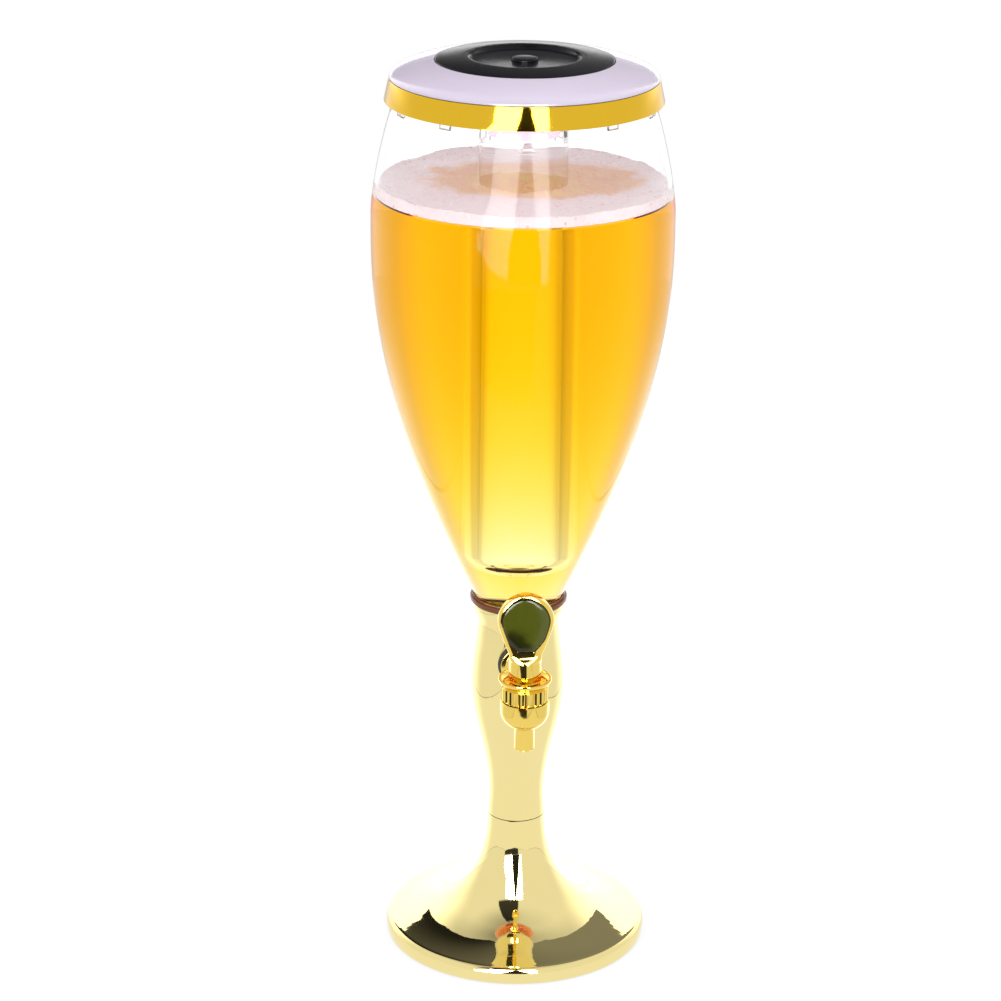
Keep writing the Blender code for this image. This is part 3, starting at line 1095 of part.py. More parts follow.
def build_light_unit(lid, button_ceiling):
    """Tray with three cells and their contacts, the board with its switch, and the button's spring."""
    floor = TRAY_WALL
    bore = TRAY_RADIUS - TRAY_WALL
    tray = turned([(0, 0), (TRAY_RADIUS, 0), (TRAY_RADIUS, TRAY_HEIGHT), (bore, TRAY_HEIGHT), (bore, floor), (0, floor)],
                  STEM_SEGMENTS, closed=False)
    piece("battery_tray", tray, "black_plastic", lid)

    half = BATTERY_LENGTH / 2
    shoulder = half - BATTERY_NUB_LENGTH
    level = floor + TOUCH_GAP + BATTERY_RADIUS
    for number in range(3):
        cell = turned([(0, -half), (BATTERY_RADIUS, -half), (BATTERY_RADIUS, shoulder), (BATTERY_NUB_RADIUS, shoulder),
                       (BATTERY_NUB_RADIUS, half), (0, half)], SMALL_SEGMENTS, closed=False)
        piece(f"battery_{number + 1}", moved(cell, turn=ALONG_X), "battery_jacket", lid,
              (0, (number - 1) * BATTERY_PITCH, level))
    span = BATTERY_PITCH + BATTERY_RADIUS / 2
    near = half + TOUCH_GAP
    for side, name in ((-1, "battery_contact_left"), (1, "battery_contact_right")):
        edges = sorted((side * near, side * (near + CONTACT_THICKNESS)))
        low = (edges[0], -span, floor + TOUCH_GAP)
        high = (edges[1], span, floor + TOUCH_GAP + CONTACT_HEIGHT)
        piece(name, block(low, high), "steel", lid)

    board = cylinder(TRAY_RADIUS - TOUCH_GAP, BOARD_BOTTOM, BOARD_TOP, STEM_SEGMENTS)
    piece("circuit_board", board, "circuit_green", lid)
    half_switch = SWITCH_WIDTH / 2
    switch_bottom = BOARD_TOP + TOUCH_GAP
    switch = block((-half_switch, -half_switch, switch_bottom),
                   (half_switch, half_switch, switch_bottom + SWITCH_HEIGHT))
    piece("push_switch", switch, "black_plastic", lid)
    spring = coil("button_spring", BUTTON_SPRING_MEAN_RADIUS, BUTTON_SPRING_WIRE_RADIUS, BUTTON_SPRING_CURLS,
                  BOARD_TOP + TOUCH_GAP, button_ceiling - TOUCH_GAP)
    piece("button_spring", spring, "steel", lid)


def build_plug(lid):
    """Clear plug under the lid that carries the lamp and hooks the ice tube by three bayonet feet."""
    bore = PLUG_RADIUS - PLUG_WALL
    bottom = -PLUG_DEPTH
    ledge_top = -LED_LEDGE_DEPTH + LED_LEDGE_THICKNESS
    ledge_bore = bore - LED_LEDGE_WIDTH
    groove_floor = PLUG_RADIUS - GROOVE_DEPTH
    groove_bottom = -GROOVE_TOP - PLUG_SEAL_WIDTH - 2 * TOUCH_GAP
    profile = [(bore - PLUG_LIP, bottom), (PLUG_RADIUS, bottom), (PLUG_RADIUS, groove_bottom),
               (groove_floor, groove_bottom), (groove_floor, -GROOVE_TOP), (PLUG_RADIUS, -GROOVE_TOP),
               (PLUG_RADIUS, PLUG_FLANGE_BOTTOM), (PLUG_FLANGE_RADIUS, PLUG_FLANGE_BOTTOM),
               (PLUG_FLANGE_RADIUS, PLUG_TOP), (bore, PLUG_TOP), (bore, ledge_top), (ledge_bore, ledge_top),
               (ledge_bore, -LED_LEDGE_DEPTH), (bore, -LED_LEDGE_DEPTH), (bore, bottom + PLUG_LIP),
               (bore - PLUG_LIP, bottom + PLUG_LIP)]
    plug = turned(profile, STEM_SEGMENTS)
    foot_bottom = bottom - HOOK_LENGTH
    foot_top = foot_bottom + HOOK_FOOT_THICKNESS
    leg = [(bore, foot_bottom), (PLUG_RADIUS, foot_bottom), (PLUG_RADIUS, bottom + PLUG_LIP / 2),
           (bore, bottom + PLUG_LIP / 2)]
    foot = [(bore, foot_bottom), (PLUG_RADIUS, foot_bottom), (PLUG_RADIUS, foot_top), (bore, foot_top)]
    leg_middle = (HOOK_LEG_SPAN - HOOK_FOOT_SPAN) / 2
    turns = [math.tau * index / HOOK_COUNT for index in range(HOOK_COUNT)]
    legs = [arc_block(leg, turn + leg_middle, HOOK_LEG_SPAN, 1) for turn in turns]
    feet = [arc_block(foot, turn, HOOK_FOOT_SPAN) for turn in turns]
    plug = fused(plug, joined(legs), joined(feet))
    places = around(LID_SCREW_COUNT, LID_SCREW_CIRCLE, math.pi / 2)
    holes = [moved(cylinder(SCREW_RADIUS + TOUCH_GAP, PLUG_FLANGE_BOTTOM - OVERRUN, PLUG_TOP + OVERRUN), (x, y, 0))
             for x, y in places]
    piece("tube_plug", cut(plug, joined(holes)), "clear_plastic", lid)

    seal_top = -GROOVE_TOP - TOUCH_GAP
    seal = turned([(groove_floor + TOUCH_GAP, seal_top - PLUG_SEAL_WIDTH),
                   (PLUG_RADIUS + TOUCH_GAP, seal_top - PLUG_SEAL_WIDTH), (PLUG_RADIUS + TOUCH_GAP, seal_top),
                   (groove_floor + TOUCH_GAP, seal_top)], STEM_SEGMENTS)
    piece("plug_seal", seal, "silicone", lid)
    lens_bottom = bottom + PLUG_LIP + TOUCH_GAP
    lens_radius = bore - TOUCH_GAP
    lens = cylinder(lens_radius, lens_bottom, lens_bottom + LENS_THICKNESS, STEM_SEGMENTS)
    piece("lamp_lens", lens, "lamp_lens", lid)
    board_bottom = ledge_top + TOUCH_GAP
    board = cylinder(lens_radius, board_bottom, board_bottom + BOARD_THICKNESS, STEM_SEGMENTS)
    piece("led_board", board, "circuit_green", lid)
    led_top = board_bottom - TOUCH_GAP
    for number, (x, y) in enumerate(around(LED_COUNT, LED_CIRCLE_RADIUS, math.pi / 2), 1):
        tip = led_top - LED_HEIGHT
        lamp = turned([(0, tip), (LED_RADIUS / 2, tip + LED_RADIUS / 8), (LED_RADIUS, tip + LED_RADIUS / 2),
                       (LED_RADIUS, led_top), (0, led_top)], 12, closed=False)
        piece(f"led_{number}", lamp, "clear_plastic", lid, (x, y, 0))
    for number, (x, y) in enumerate(places, 1):
        head_bottom = PLUG_FLANGE_BOTTOM - TOUCH_GAP - SCREW_HEAD_HEIGHT
        head_top = head_bottom + SCREW_HEAD_HEIGHT
        end = PLUG_FLANGE_BOTTOM + LID_SCREW_LENGTH
        screw = turned([(0, head_bottom), (SCREW_HEAD_RADIUS, head_bottom), (SCREW_HEAD_RADIUS, head_top),
                        (SCREW_RADIUS, head_top), (SCREW_RADIUS, end - SCREW_RADIUS), (0, end)],
                       SMALL_SEGMENTS, closed=False)
        piece(f"lid_screw_{number}", screw, "steel", lid, (x, y, 0))


def build_ice_tube(tube):
    """Clear tube for ice, closed below, with three lugs inside that rest on the plug's hooks."""
    foot_radius = TUBE_RADIUS - TUBE_TAPER
    bend = TUBE_FLOOR_ROUND * (1 - math.sqrt(0.5))
    floor = TUBE_BOTTOM + TUBE_WALL
    outside = [(0, TUBE_BOTTOM + TUBE_GATE_DEPTH), (TUBE_GATE_RADIUS, TUBE_BOTTOM + TUBE_GATE_DEPTH),
               (TUBE_GATE_RADIUS + TUBE_GATE_DEPTH, TUBE_BOTTOM), (foot_radius - TUBE_FLOOR_ROUND, TUBE_BOTTOM),
               (foot_radius - bend, TUBE_BOTTOM + bend), (foot_radius, TUBE_BOTTOM + TUBE_FLOOR_ROUND),
               (TUBE_RADIUS, TUBE_TOP)]
    inner_foot = foot_radius - TUBE_WALL
    inside = [(TUBE_RADIUS - TUBE_WALL, TUBE_TOP), (inner_foot, floor + TUBE_FLOOR_ROUND),
              (inner_foot - bend, floor + bend), (inner_foot - TUBE_FLOOR_ROUND, floor), (0, floor)]
    shape = turned(outside + inside, STEM_SEGMENTS, closed=False)
    lug_bottom = -PLUG_DEPTH - HOOK_LENGTH + HOOK_FOOT_THICKNESS + TOUCH_GAP
    lug_inner = PLUG_RADIUS - PLUG_WALL + TOUCH_GAP
    lug_outer = TUBE_RADIUS - TUBE_WALL / 2
    lug = [(lug_inner, lug_bottom), (lug_outer, lug_bottom), (lug_outer, lug_bottom + TUBE_LUG_HEIGHT),
           (lug_inner, lug_bottom + TUBE_LUG_HEIGHT)]
    lug_middle = HOOK_LEG_SPAN / 2
    lugs = [arc_block(lug, math.tau * index / HOOK_COUNT + lug_middle, TUBE_LUG_SPAN) for index in range(HOOK_COUNT)]
    piece("ice_tube", fused(shape, joined(lugs)), "clear_plastic", tube)


def build_lid(tower):
    """Lid with its cap, button and ice tube, each moving group on a frame of its own."""
    lid = body_frame("lid_frame", tower, (0, 0, LID_SEAT))
    build_lid_ring(lid)
    build_lid_shell(lid)
    cap = body_frame("cap_frame", lid)
    build_cap(cap)
    button_ceiling = build_button(body_frame("button_frame", cap))
    build_light_unit(lid, button_ceiling)
    build_plug(lid)
    build_ice_tube(body_frame("tube_frame", lid))


def main():
    """Clear the scene and build the dispenser from the floor up."""
    for obj in list(bpy.data.objects):
        bpy.data.objects.remove(obj)
    tower = body_frame("tower_frame")
    build_foot(tower)
    build_stem(tower)
    build_bowl(tower)
    build_tap(tower)
    build_lid(tower)
    bpy.context.view_layer.update()


main()
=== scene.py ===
"""Looks of the beer tower dispenser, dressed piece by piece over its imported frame.

Metres, +Z up, with the tower's axis on Z and the tap towards -Y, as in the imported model.
"""

import logging
import math
from collections.abc import Callable
from dataclasses import dataclass, field
from enum import Enum

import bmesh
import bpy
from mathutils import Matrix, Vector, noise


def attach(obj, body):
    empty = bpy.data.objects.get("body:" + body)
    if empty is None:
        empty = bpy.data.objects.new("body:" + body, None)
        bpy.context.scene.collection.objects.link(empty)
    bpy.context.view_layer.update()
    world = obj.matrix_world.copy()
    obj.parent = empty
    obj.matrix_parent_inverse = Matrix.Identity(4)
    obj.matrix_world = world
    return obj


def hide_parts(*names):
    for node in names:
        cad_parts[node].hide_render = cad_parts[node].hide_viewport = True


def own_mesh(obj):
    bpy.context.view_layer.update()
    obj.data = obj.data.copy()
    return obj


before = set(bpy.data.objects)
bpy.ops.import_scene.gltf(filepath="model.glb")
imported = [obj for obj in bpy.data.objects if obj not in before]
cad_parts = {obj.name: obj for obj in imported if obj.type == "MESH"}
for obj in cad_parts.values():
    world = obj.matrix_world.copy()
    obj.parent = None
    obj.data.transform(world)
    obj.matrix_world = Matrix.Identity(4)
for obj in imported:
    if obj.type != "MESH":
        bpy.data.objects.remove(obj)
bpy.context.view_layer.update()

log = logging.getLogger("beer_tower")

MM = 0.001
IMAGE_PIXELS = 1001

Point = tuple[float, ...]
Colour = tuple[float, float, float]
BLACK, WHITE = (0.0, 0.0, 0.0), (1.0, 1.0, 1.0)


class Body(Enum):
    """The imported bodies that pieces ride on."""

    TOWER = "tower"
    LID = "lid"
    CAP = "cap"
    BUTTON = "button"
    TUBE = "ice_tube"
    VALVE = "valve"
    HANDLE = "handle"


class Shape:
    """Mesh building from plain profiles and sections, in millimetres."""

    SHARP = math.radians(34)
    ON_AXIS = 1e-6
    MERGE = 1e-5
    CURL_SPANS = 36
    WIRE_SIDES = 12

    @staticmethod
    def bezier(start: Point, first: Point, second: Point, end: Point, steps: int) -> list[Point]:
        """Points of a cubic curve.

        Args:
            start: first point.
            first: handle of the first point.
            second: handle of the last point.
            end: last point.
            steps: number of spans.

        Returns:
            steps + 1 points, both ends included.
        """
        corners = (start, first, second, end)
        points = []
        for step in range(steps + 1):
            t = step / steps
            u = 1 - t
            weights = (u ** 3, 3 * u * u * t, 3 * u * t * t, t ** 3)
            points.append(tuple(sum(w * c[axis] for w, c in zip(weights, corners)) for axis in (0, 1)))
        return points

    @staticmethod
    def offset(points: list[Point], distance: float) -> list[Point]:
        """Shift a line sideways, to the left of its direction of travel.

        Args:
            points: (radius, height) points.
            distance: how far to shift.

        Returns:
            The shifted points.
        """
        shifted = []
        for index, point in enumerate(points):
            before = points[max(index - 1, 0)]
            after = points[min(index + 1, len(points) - 1)]
            run = Vector((after[0] - before[0], after[1] - before[1])).normalized()
            shifted.append((point[0] - run.y * distance, point[1] + run.x * distance))
        return shifted

    @staticmethod
    def at_height(points: list[Point], height: float) -> float:
        """Radius of a climbing line at a height.

        Args:
            points: (radius, height) points whose height grows.
            height: where to read.

        Returns:
            The radius there.
        """
        for (r0, z0), (r1, z1) in zip(points, points[1:]):
            if z0 <= height <= z1:
                return r0 + (r1 - r0) * (height - z0) / max(z1 - z0, 1e-9)
        return points[-1][0]

    @staticmethod
    def eased(corners: list[Point], steps: int = 3) -> list[Point]:
        """Round the corners of a closed profile.

        Args:
            corners: (radius, height) or (radius, height, round) points; round is the corner's easing.
            steps: spans in each eased corner.

        Returns:
            Points of the eased profile.
        """
        points: list[Point] = []
        count = len(corners)
        for index, corner in enumerate(corners):
            here = Vector(corner[:2])
            ease = corner[2] if len(corner) > 2 else 0.0
            back = Vector(corners[index - 1][:2]) - here
            ahead = Vector(corners[(index + 1) % count][:2]) - here
            reach = min(ease, back.length * 0.48, ahead.length * 0.48)
            if reach <= 0:
                points.append(tuple(here))
                continue
            start = here + back.normalized() * reach
            end = here + ahead.normalized() * reach
            for step in range(steps + 1):
                t = step / steps
                points.append(tuple(start * (1 - t) ** 2 + here * 2 * t * (1 - t) + end * t * t))
        return points

    @classmethod
    def piece(cls, name: str, bm: bmesh.types.BMesh) -> bpy.types.Object:
        """Turn a bmesh in millimetres into a smooth-shaded object in metres.

        Args:
            name: the object's name.
            bm: the mesh, which is freed.

        Returns:
            The linked object.
        """
        bmesh.ops.remove_doubles(bm, verts=bm.verts, dist=cls.MERGE)
        bmesh.ops.recalc_face_normals(bm, faces=bm.faces)
        bmesh.ops.scale(bm, vec=(MM, MM, MM), verts=bm.verts)
        mesh = bpy.data.meshes.new(name)
        bm.to_mesh(mesh)
        bm.free()
        mesh.shade_smooth()
        mesh.set_sharp_from_angle(angle=cls.SHARP)
        obj = bpy.data.objects.new(name, mesh)
        bpy.context.scene.collection.objects.link(obj)
        return obj

    @staticmethod
    def bridge(bm: bmesh.types.BMesh, ring: list[bmesh.types.BMVert], after: list[bmesh.types.BMVert]) -> None:
        """Make the faces between two rings, either of which may be one point.

        Args:
            bm: the mesh.
            ring: corners of the first ring.
            after: corners of the next ring.
        """
        count = max(len(ring), len(after))
        for index in range(count if count > 1 else 0):
            corner = (index + 1) % count
            loop = (ring[index % len(ring)], ring[corner % len(ring)],
                    after[corner % len(after)], after[index % len(after)])
            bm.faces.new(list(dict.fromkeys(loop)))

    @classmethod
    def turned(cls, name: str, profile: list[Point], segments: int = 96, centre: Point = (0, 0, 0),
               axis: str = "Z", ripple: Callable[[float, float, float], float] | None = None) -> bpy.types.Object:
        """Closed solid of revolution.

        Args:
            name: the object's name.
            profile: closed loop of (radius, height) points; a run along the axis is left out of the mesh.
            segments: steps round the axis.
            centre: origin of the profile, in millimetres.
            axis: "Z", "Y" (heights run towards +Y) or "X".
            ripple: optional function of (radius, height, angle) that gives the radius there.

        Returns:
            The linked object.
        """
        bm = bmesh.new()
        rings = []
        for radius, height in profile:
            ring = []
            for step in range(segments if radius >= cls.ON_AXIS else 1):
                angle = math.tau * step / segments
                size = ripple(radius, height, angle) if ripple else radius
                ring.append(bm.verts.new((size * math.cos(angle), size * math.sin(angle), height)))
            rings.append(ring)
        for ring, after in zip(rings, rings[1:] + rings[:1]):
            cls.bridge(bm, ring, after)
        turns = {"Z": Matrix.Identity(4), "Y": Matrix.Rotation(-math.pi / 2, 4, "X"),
                 "X": Matrix.Rotation(math.pi / 2, 4, "Y")}
        bm.transform(Matrix.Translation(centre) @ turns[axis])
        return cls.piece(name, bm)

    @classmethod
    def swept(cls, name: str, profile: list[Point], middles: tuple[float, ...], span: float,
              steps: int = 6) -> bpy.types.Object:
        """Solids swept by one closed profile over parts of a turn, joined as one piece.

        Args:
            name: the object's name.
            profile: (radius, height) points.
            middles: middle of each part, in degrees from the front.
            span: angle of each part, in degrees.
            steps: spans along each part.

        Returns:
            The linked object.
        """
        bm = bmesh.new()
        width = math.radians(span)
        for middle in middles:
            rings = []
            for step in range(steps + 1):
                angle = math.radians(middle) - math.pi / 2 - width / 2 + width * step / steps
                rings.append([bm.verts.new((r * math.cos(angle), r * math.sin(angle), z)) for r, z in profile])
            for ring, after in zip(rings, rings[1:]):
                cls.bridge(bm, after, ring)
            bm.faces.new(rings[0])
            bm.faces.new(rings[-1][::-1])
        return cls.piece(name, bm)

    @classmethod
    def lofted(cls, name: str, sections: list[list[Point]]) -> bpy.types.Object:
        """Solid through closed sections of equally many points.

        Args:
            name: the object's name.
            sections: lists of (x, y, z) points.

        Returns:
            The linked object.
        """
        bm = bmesh.new()
        rings = [[bm.verts.new(point) for point in section] for section in sections]
        for ring, after in zip(rings, rings[1:]):
            cls.bridge(bm, ring, after)
        bm.faces.new(rings[0][::-1])
        bm.faces.new(rings[-1])
        return cls.piece(name, bm)

    @classmethod
    def coil(cls, name: str, mean: float, wire: float, low: float, high: float, curls: int,
             centre: Point = (0, 0, 0)) -> bpy.types.Object:
        """Compression spring, as a round wire along a helix on Z.

        Args:
            name: the object's name.
            mean: radius of the helix.
            wire: radius of the wire.
            low: lowest height of the wire.
            high: highest height of the wire.
            curls: whole turns.
            centre: foot of the helix's axis.

        Returns:
            The linked object.
        """
        spans, sides = curls * cls.CURL_SPANS, cls.WIRE_SIDES
        sections = []
        for step in range(spans + 1):
            turn = math.tau * curls * step / spans
            height = low + wire + (high - low - 2 * wire) * step / spans
            section = []
            for side in range(sides):
                lean = math.tau * side / sides
                radius = mean + wire * math.cos(lean)
                section.append((centre[0] + radius * math.cos(turn), centre[1] + radius * math.sin(turn),
                                centre[2] + height + wire * math.sin(lean)))
            sections.append(section)
        return cls.lofted(name, sections)

    @staticmethod
    def carve(obj: bpy.types.Object, tools: list[bpy.types.Object], operation: str = "DIFFERENCE") -> None:
        """Cut or join tools into a piece, and remove the tools.

        Args:
            obj: the piece.
            tools: closed meshes.
            operation: a Boolean modifier's operation.
        """
        for tool in tools:
            modifier = obj.modifiers.new("Carve", "BOOLEAN")
            modifier.operation = operation
            modifier.solver = "EXACT"
            modifier.object = tool
            bpy.context.view_layer.update()
            result = bpy.data.meshes.new_from_object(obj.evaluated_get(bpy.context.evaluated_depsgraph_get()))
            obj.modifiers.clear()
            obj.data = result
            bpy.data.objects.remove(tool)
        obj.data.shade_smooth()
        obj.data.set_sharp_from_angle(angle=Shape.SHARP)


class Socket:
    """A node's output, with the arithmetic that shader expressions need."""

    def __init__(self, paint: "Paint", link: bpy.types.NodeSocket) -> None:
        """Keep the material that the output belongs to."""
        self.paint = paint
        self.link = link

    def _math(self, operation: str, *values: "float | Socket") -> "Socket":
        """Add one Math node on these values."""
        return self.paint.node("ShaderNodeMath", {"operation": operation}, dict(enumerate(values)))

    def __add__(self, other: "float | Socket") -> "Socket":
        """Sum."""
        return self._math("ADD", self, other)

    __radd__ = __add__

    def __sub__(self, other: "float | Socket") -> "Socket":
        """Difference."""
        return self._math("SUBTRACT", self, other)

    def __rsub__(self, other: float) -> "Socket":
        """Difference from a number."""
        return self._math("SUBTRACT", other, self)

    def __mul__(self, other: "float | Socket") -> "Socket":
        """Product."""
        return self._math("MULTIPLY", self, other)

    __rmul__ = __mul__

    def __truediv__(self, other: "float | Socket") -> "Socket":
        """Quotient."""
        return self._math("DIVIDE", self, other)

    def __pow__(self, other: float) -> "Socket":
        """Power."""
        return self._math("POWER", self, other)

    def abs(self) -> "Socket":
        """Size without sign."""
        return self._math("ABSOLUTE", self)

    def larger(self, other: "float | Socket") -> "Socket":
        """The larger of two values."""
        return self._math("MAXIMUM", self, other)

    def turn(self, ahead: "Socket") -> "Socket":
        """Angle in degrees of a direction that goes this far aside and that far ahead."""
        return self._math("ARCTAN2", self, ahead) * math.degrees(1)

    def above(self, low: float, high: float) -> "Socket":
        """Smooth step from 0 at low to 1 at high.

        Args:
            low: value that gives 0.
            high: value that gives 1.

        Returns:
            The eased share.
        """
        settings = {"interpolation_type": "SMOOTHSTEP"}
        return self.paint.node("ShaderNodeMapRange", settings, {"Value": self, "From Min": low, "From Max": high})

    def within(self, low: float, high: float, edge: float) -> "Socket":
        """Soft window that is 1 between two values.

        Args:
            low: where the window opens.
            high: where it closes.
            edge: width of each soft side.

        Returns:
            The window's share.
        """
        return self.above(low - edge, low + edge) * (1 - self.above(high - edge, high + edge))


class Paint:
    """One node tree, of a material or of the world."""

    NOISE_ROUGHNESS = 0.55

    def __init__(self, tree: bpy.types.NodeTree) -> None:
        """Start from an empty tree."""
        self.tree = tree
        tree.nodes.clear()

    @classmethod
    def material(cls, name: str) -> tuple["Paint", bpy.types.Material]:
        """Empty material and its paint."""
        material = bpy.data.materials.new(name)
        material.use_nodes = True
        return cls(material.node_tree), material

    def node(self, kind: str, settings: dict | None = None, inputs: dict | None = None,
             output: int | str = 0) -> Socket:
        """Add a node.

        Args:
            kind: the node's type.
            settings: attributes, which are set before the sockets.
            inputs: values or links by socket name or number.
            output: the output that is returned.

        Returns:
            The chosen output.
        """
        made = self.tree.nodes.new(kind)
        for key, value in (settings or {}).items():
            setattr(made, key, value)
        for key, value in (inputs or {}).items():
            if isinstance(value, Socket):
                self.tree.links.new(value.link, made.inputs[key])
            elif isinstance(value, tuple) and len(value) == 3 and made.inputs[key].type == "RGBA":
                made.inputs[key].default_value = (*value, 1)
            else:
                made.inputs[key].default_value = value
        return Socket(self, made.outputs[output])

    def place(self) -> Socket:
        """Position on the piece, in metres from the tower's foot."""
        return self.node("ShaderNodeTexCoord", output="Object")

    def axis(self, vector: Socket, letter: str) -> Socket:
        """One number of a vector."""
        return self.node("ShaderNodeSeparateXYZ", None, {"Vector": vector}, letter)

    def ray(self, kind: str) -> Socket:
        """Whether the light path's ray is of a kind."""
        return self.node("ShaderNodeLightPath", output=f"Is {kind} Ray")

    def stretched(self, vector: Socket, scale: Point) -> Socket:
        """A vector with each axis scaled."""
        return self.node("ShaderNodeVectorMath", {"operation": "MULTIPLY"}, {0: vector, 1: tuple(scale)})

    def noise(self, vector: Socket, scale: float, detail: float = 3.0) -> Socket:
        """Noise value between 0 and 1 at a scale per metre."""
        sockets = {"Vector": vector, "Scale": scale, "Detail": detail, "Roughness": self.NOISE_ROUGHNESS}
        return self.node("ShaderNodeTexNoise", None, sockets)

    def mix(self, share: "float | Socket", first: "Colour | Socket", second: "Colour | Socket") -> Socket:
        """Mix two colours.

        Args:
            share: how much of the second.
            first: colour at share 0.
            second: colour at share 1.

        Returns:
            The mixed colour.
        """
        return self.node("ShaderNodeMix", {"data_type": "RGBA"}, {0: share, 6: first, 7: second}, 2)

    def bump(self, height: Socket, strength: float, distance: float) -> Socket:
        """Normal that follows a height."""
        return self.node("ShaderNodeBump", None, {"Height": height, "Strength": strength, "Distance": distance})

    def glow(self, bright: Socket, peak: float, kind: str = "ShaderNodeEmission") -> Socket:
        """White light whose brightness varies up to a peak."""
        return self.node(kind, None, {"Color": self.mix(bright * (1 / peak), BLACK, WHITE), "Strength": peak})

    def finish(self, surface: Socket, volume: Socket | None = None, kind: str = "Material") -> None:
        """Connect the output of the material or the world."""
        made = self.tree.nodes.new(f"ShaderNodeOutput{kind}")
        for key, shader in (("Surface", surface), ("Volume", volume)):
            if shader is not None:
                self.tree.links.new(shader.link, made.inputs[key])


class Look:
    """What every finish of a piece has in common."""

    def inputs(self, paint: Paint, place: Socket) -> dict:
        """Sockets of the Principled shader."""
        raise NotImplementedError

    def filling(self, paint: Paint) -> Socket | None:
        """Volume inside the piece, if it has one."""
        return None

    def dress(self, name: str) -> bpy.types.Material:
        """Make the material.

        Args:
            name: the material's name.

        Returns:
            The material.
        """
        paint, material = Paint.material(name)
        shader = paint.node("ShaderNodeBsdfPrincipled", None, self.inputs(paint, paint.place()))
        paint.finish(shader, self.filling(paint))
        return material


@dataclass(frozen=True)
class Finish(Look):
    """Opaque finish with fine grain: moulded plastic, rubber, raw metal and the like."""

    colour: Colour
    roughness: float
    metallic: float = 0.0
    coat: float = 0.0
    tint: float = 0.06
    cloud_scale: float = 60.0
    grain_scale: float = 2500.0
    grain: float = 0.15
    sway: float = 0.06
    specular: float = 0.5

    def colours(self, paint: Paint, place: Socket) -> Socket:
        """Base colour with slow, faint variation."""
        cloud = paint.noise(place, self.cloud_scale)
        dark = tuple(c * (1 - self.tint) for c in self.colour)
        light = tuple(min(c * (1 + self.tint), 1.0) for c in self.colour)
        return paint.mix(cloud, dark, light)

    def roughnesses(self, paint: Paint, place: Socket) -> Socket:
        """Roughness with a slow sway, as handling leaves."""
        return paint.noise(place, self.cloud_scale * 2.3, 4.0) * self.sway + (self.roughness - self.sway / 2)

    def relief(self, paint: Paint, place: Socket) -> Socket:
        """Fine surface texture."""
        return paint.bump(paint.noise(place, self.grain_scale, 2.0), self.grain, 0.0001)

    def inputs(self, paint: Paint, place: Socket) -> dict:
        """Sockets of the Principled shader."""
        return {
            "Base Color": self.colours(paint, place),
            "Roughness": self.roughnesses(paint, place),
            "Metallic": self.metallic,
            "Coat Weight": self.coat,
            "Specular IOR Level": self.specular,
            "Normal": self.relief(paint, place),
        }


@dataclass(frozen=True)
class Plating(Finish):
    """Vacuum plating under clear lacquer on moulded plastic: a mirror with faint orange peel."""

    peel_scale: float = 190.0
    peel: float = 0.012

    def relief(self, paint: Paint, place: Socket) -> Socket:
        """Long soft waves of the lacquer with a trace of dust nibs."""
        waves = paint.noise(place, self.peel_scale, 1.0)
        nibs = paint.noise(place, 1600.0, 1.0).above(0.76, 0.84)
        return paint.bump(waves + nibs * 0.02, self.peel, 0.002)


@dataclass(frozen=True)
class Brushed(Finish):
    """Drawn or turned metal, with lines along one axis."""

    lines: Point = (400.0, 400.0, 9000.0)

    def relief(self, paint: Paint, place: Socket) -> Socket:
        """Fine parallel tool lines."""
        drawn = paint.stretched(place, self.lines)
        return paint.bump(paint.noise(drawn, 1.0, 2.0), self.grain, 0.0001)


@dataclass(frozen=True)
class Speckled(Finish):
    """Soft pearl: flakes that lift the colour here and there."""

    flake: Colour = (0.9, 0.86, 0.95)
    flake_scale: float = 2200.0
    share: float = 0.05

    def colours(self, paint: Paint, place: Socket) -> Socket:
        """Base colour with pale flakes."""
        base = super().colours(paint, place)
        flakes = paint.noise(place, self.flake_scale, 1.0).above(0.56, 0.72)
        return paint.mix(flakes * self.share, base, self.flake)


@dataclass(frozen=True)
class Clear(Look):
    """Clear or tinted plastic that light goes through."""

    colour: Colour = WHITE
    roughness: float = 0.0
    ior: float = 1.49
    wave_scale: float = 26.0
    wave: float = 0.02
    scuffs: float = 0.02
    shine: float = 0.3
    through: float = 1.0
    # painted shade: share of the tint lost where the surface is seen edge-on
    painted_edge_shade: float = 0.12
    # painted glow: emission in the tint's colour, though the part is no lamp
    glow: float = 0.0

    def colours(self, paint: Paint, place: Socket, cloud: Socket) -> Socket:
        """Tint with faint variation, and painted shade that darkens it where the surface is seen edge-on."""
        plain = paint.mix(cloud, tuple(c * 0.985 for c in self.colour), self.colour)
        # painted shade: darker tint towards the surface's outline
        facing = paint.node("ShaderNodeLayerWeight", None, {"Blend": 0.5}, "Facing")
        return paint.mix(facing.above(0.55, 1.0), plain, tuple(c * (1 - self.painted_edge_shade) for c in self.colour))

    def inputs(self, paint: Paint, place: Socket) -> dict:
        """Sockets of the Principled shader."""
        cloud = paint.noise(place, self.wave_scale * 3, 2.0)
        scuff = paint.noise(paint.stretched(place, (900.0, 900.0, 60.0)), 1.0, 3.0).above(0.7, 0.8)
        flow = paint.noise(paint.stretched(place, (1.0, 1.0, 0.3)), self.wave_scale, 1.0)
        return {
            "Base Color": self.colours(paint, place, cloud),
            "Roughness": scuff * self.scuffs + self.roughness,
            "Transmission Weight": self.through,
            "IOR": self.ior,
            "Specular Tint": (self.shine, self.shine, self.shine),
            # painted glow wherever glow is above zero
            "Emission Color": self.colour,
            "Emission Strength": self.glow,
            "Normal": paint.bump(flow, self.wave, 0.002),
        }


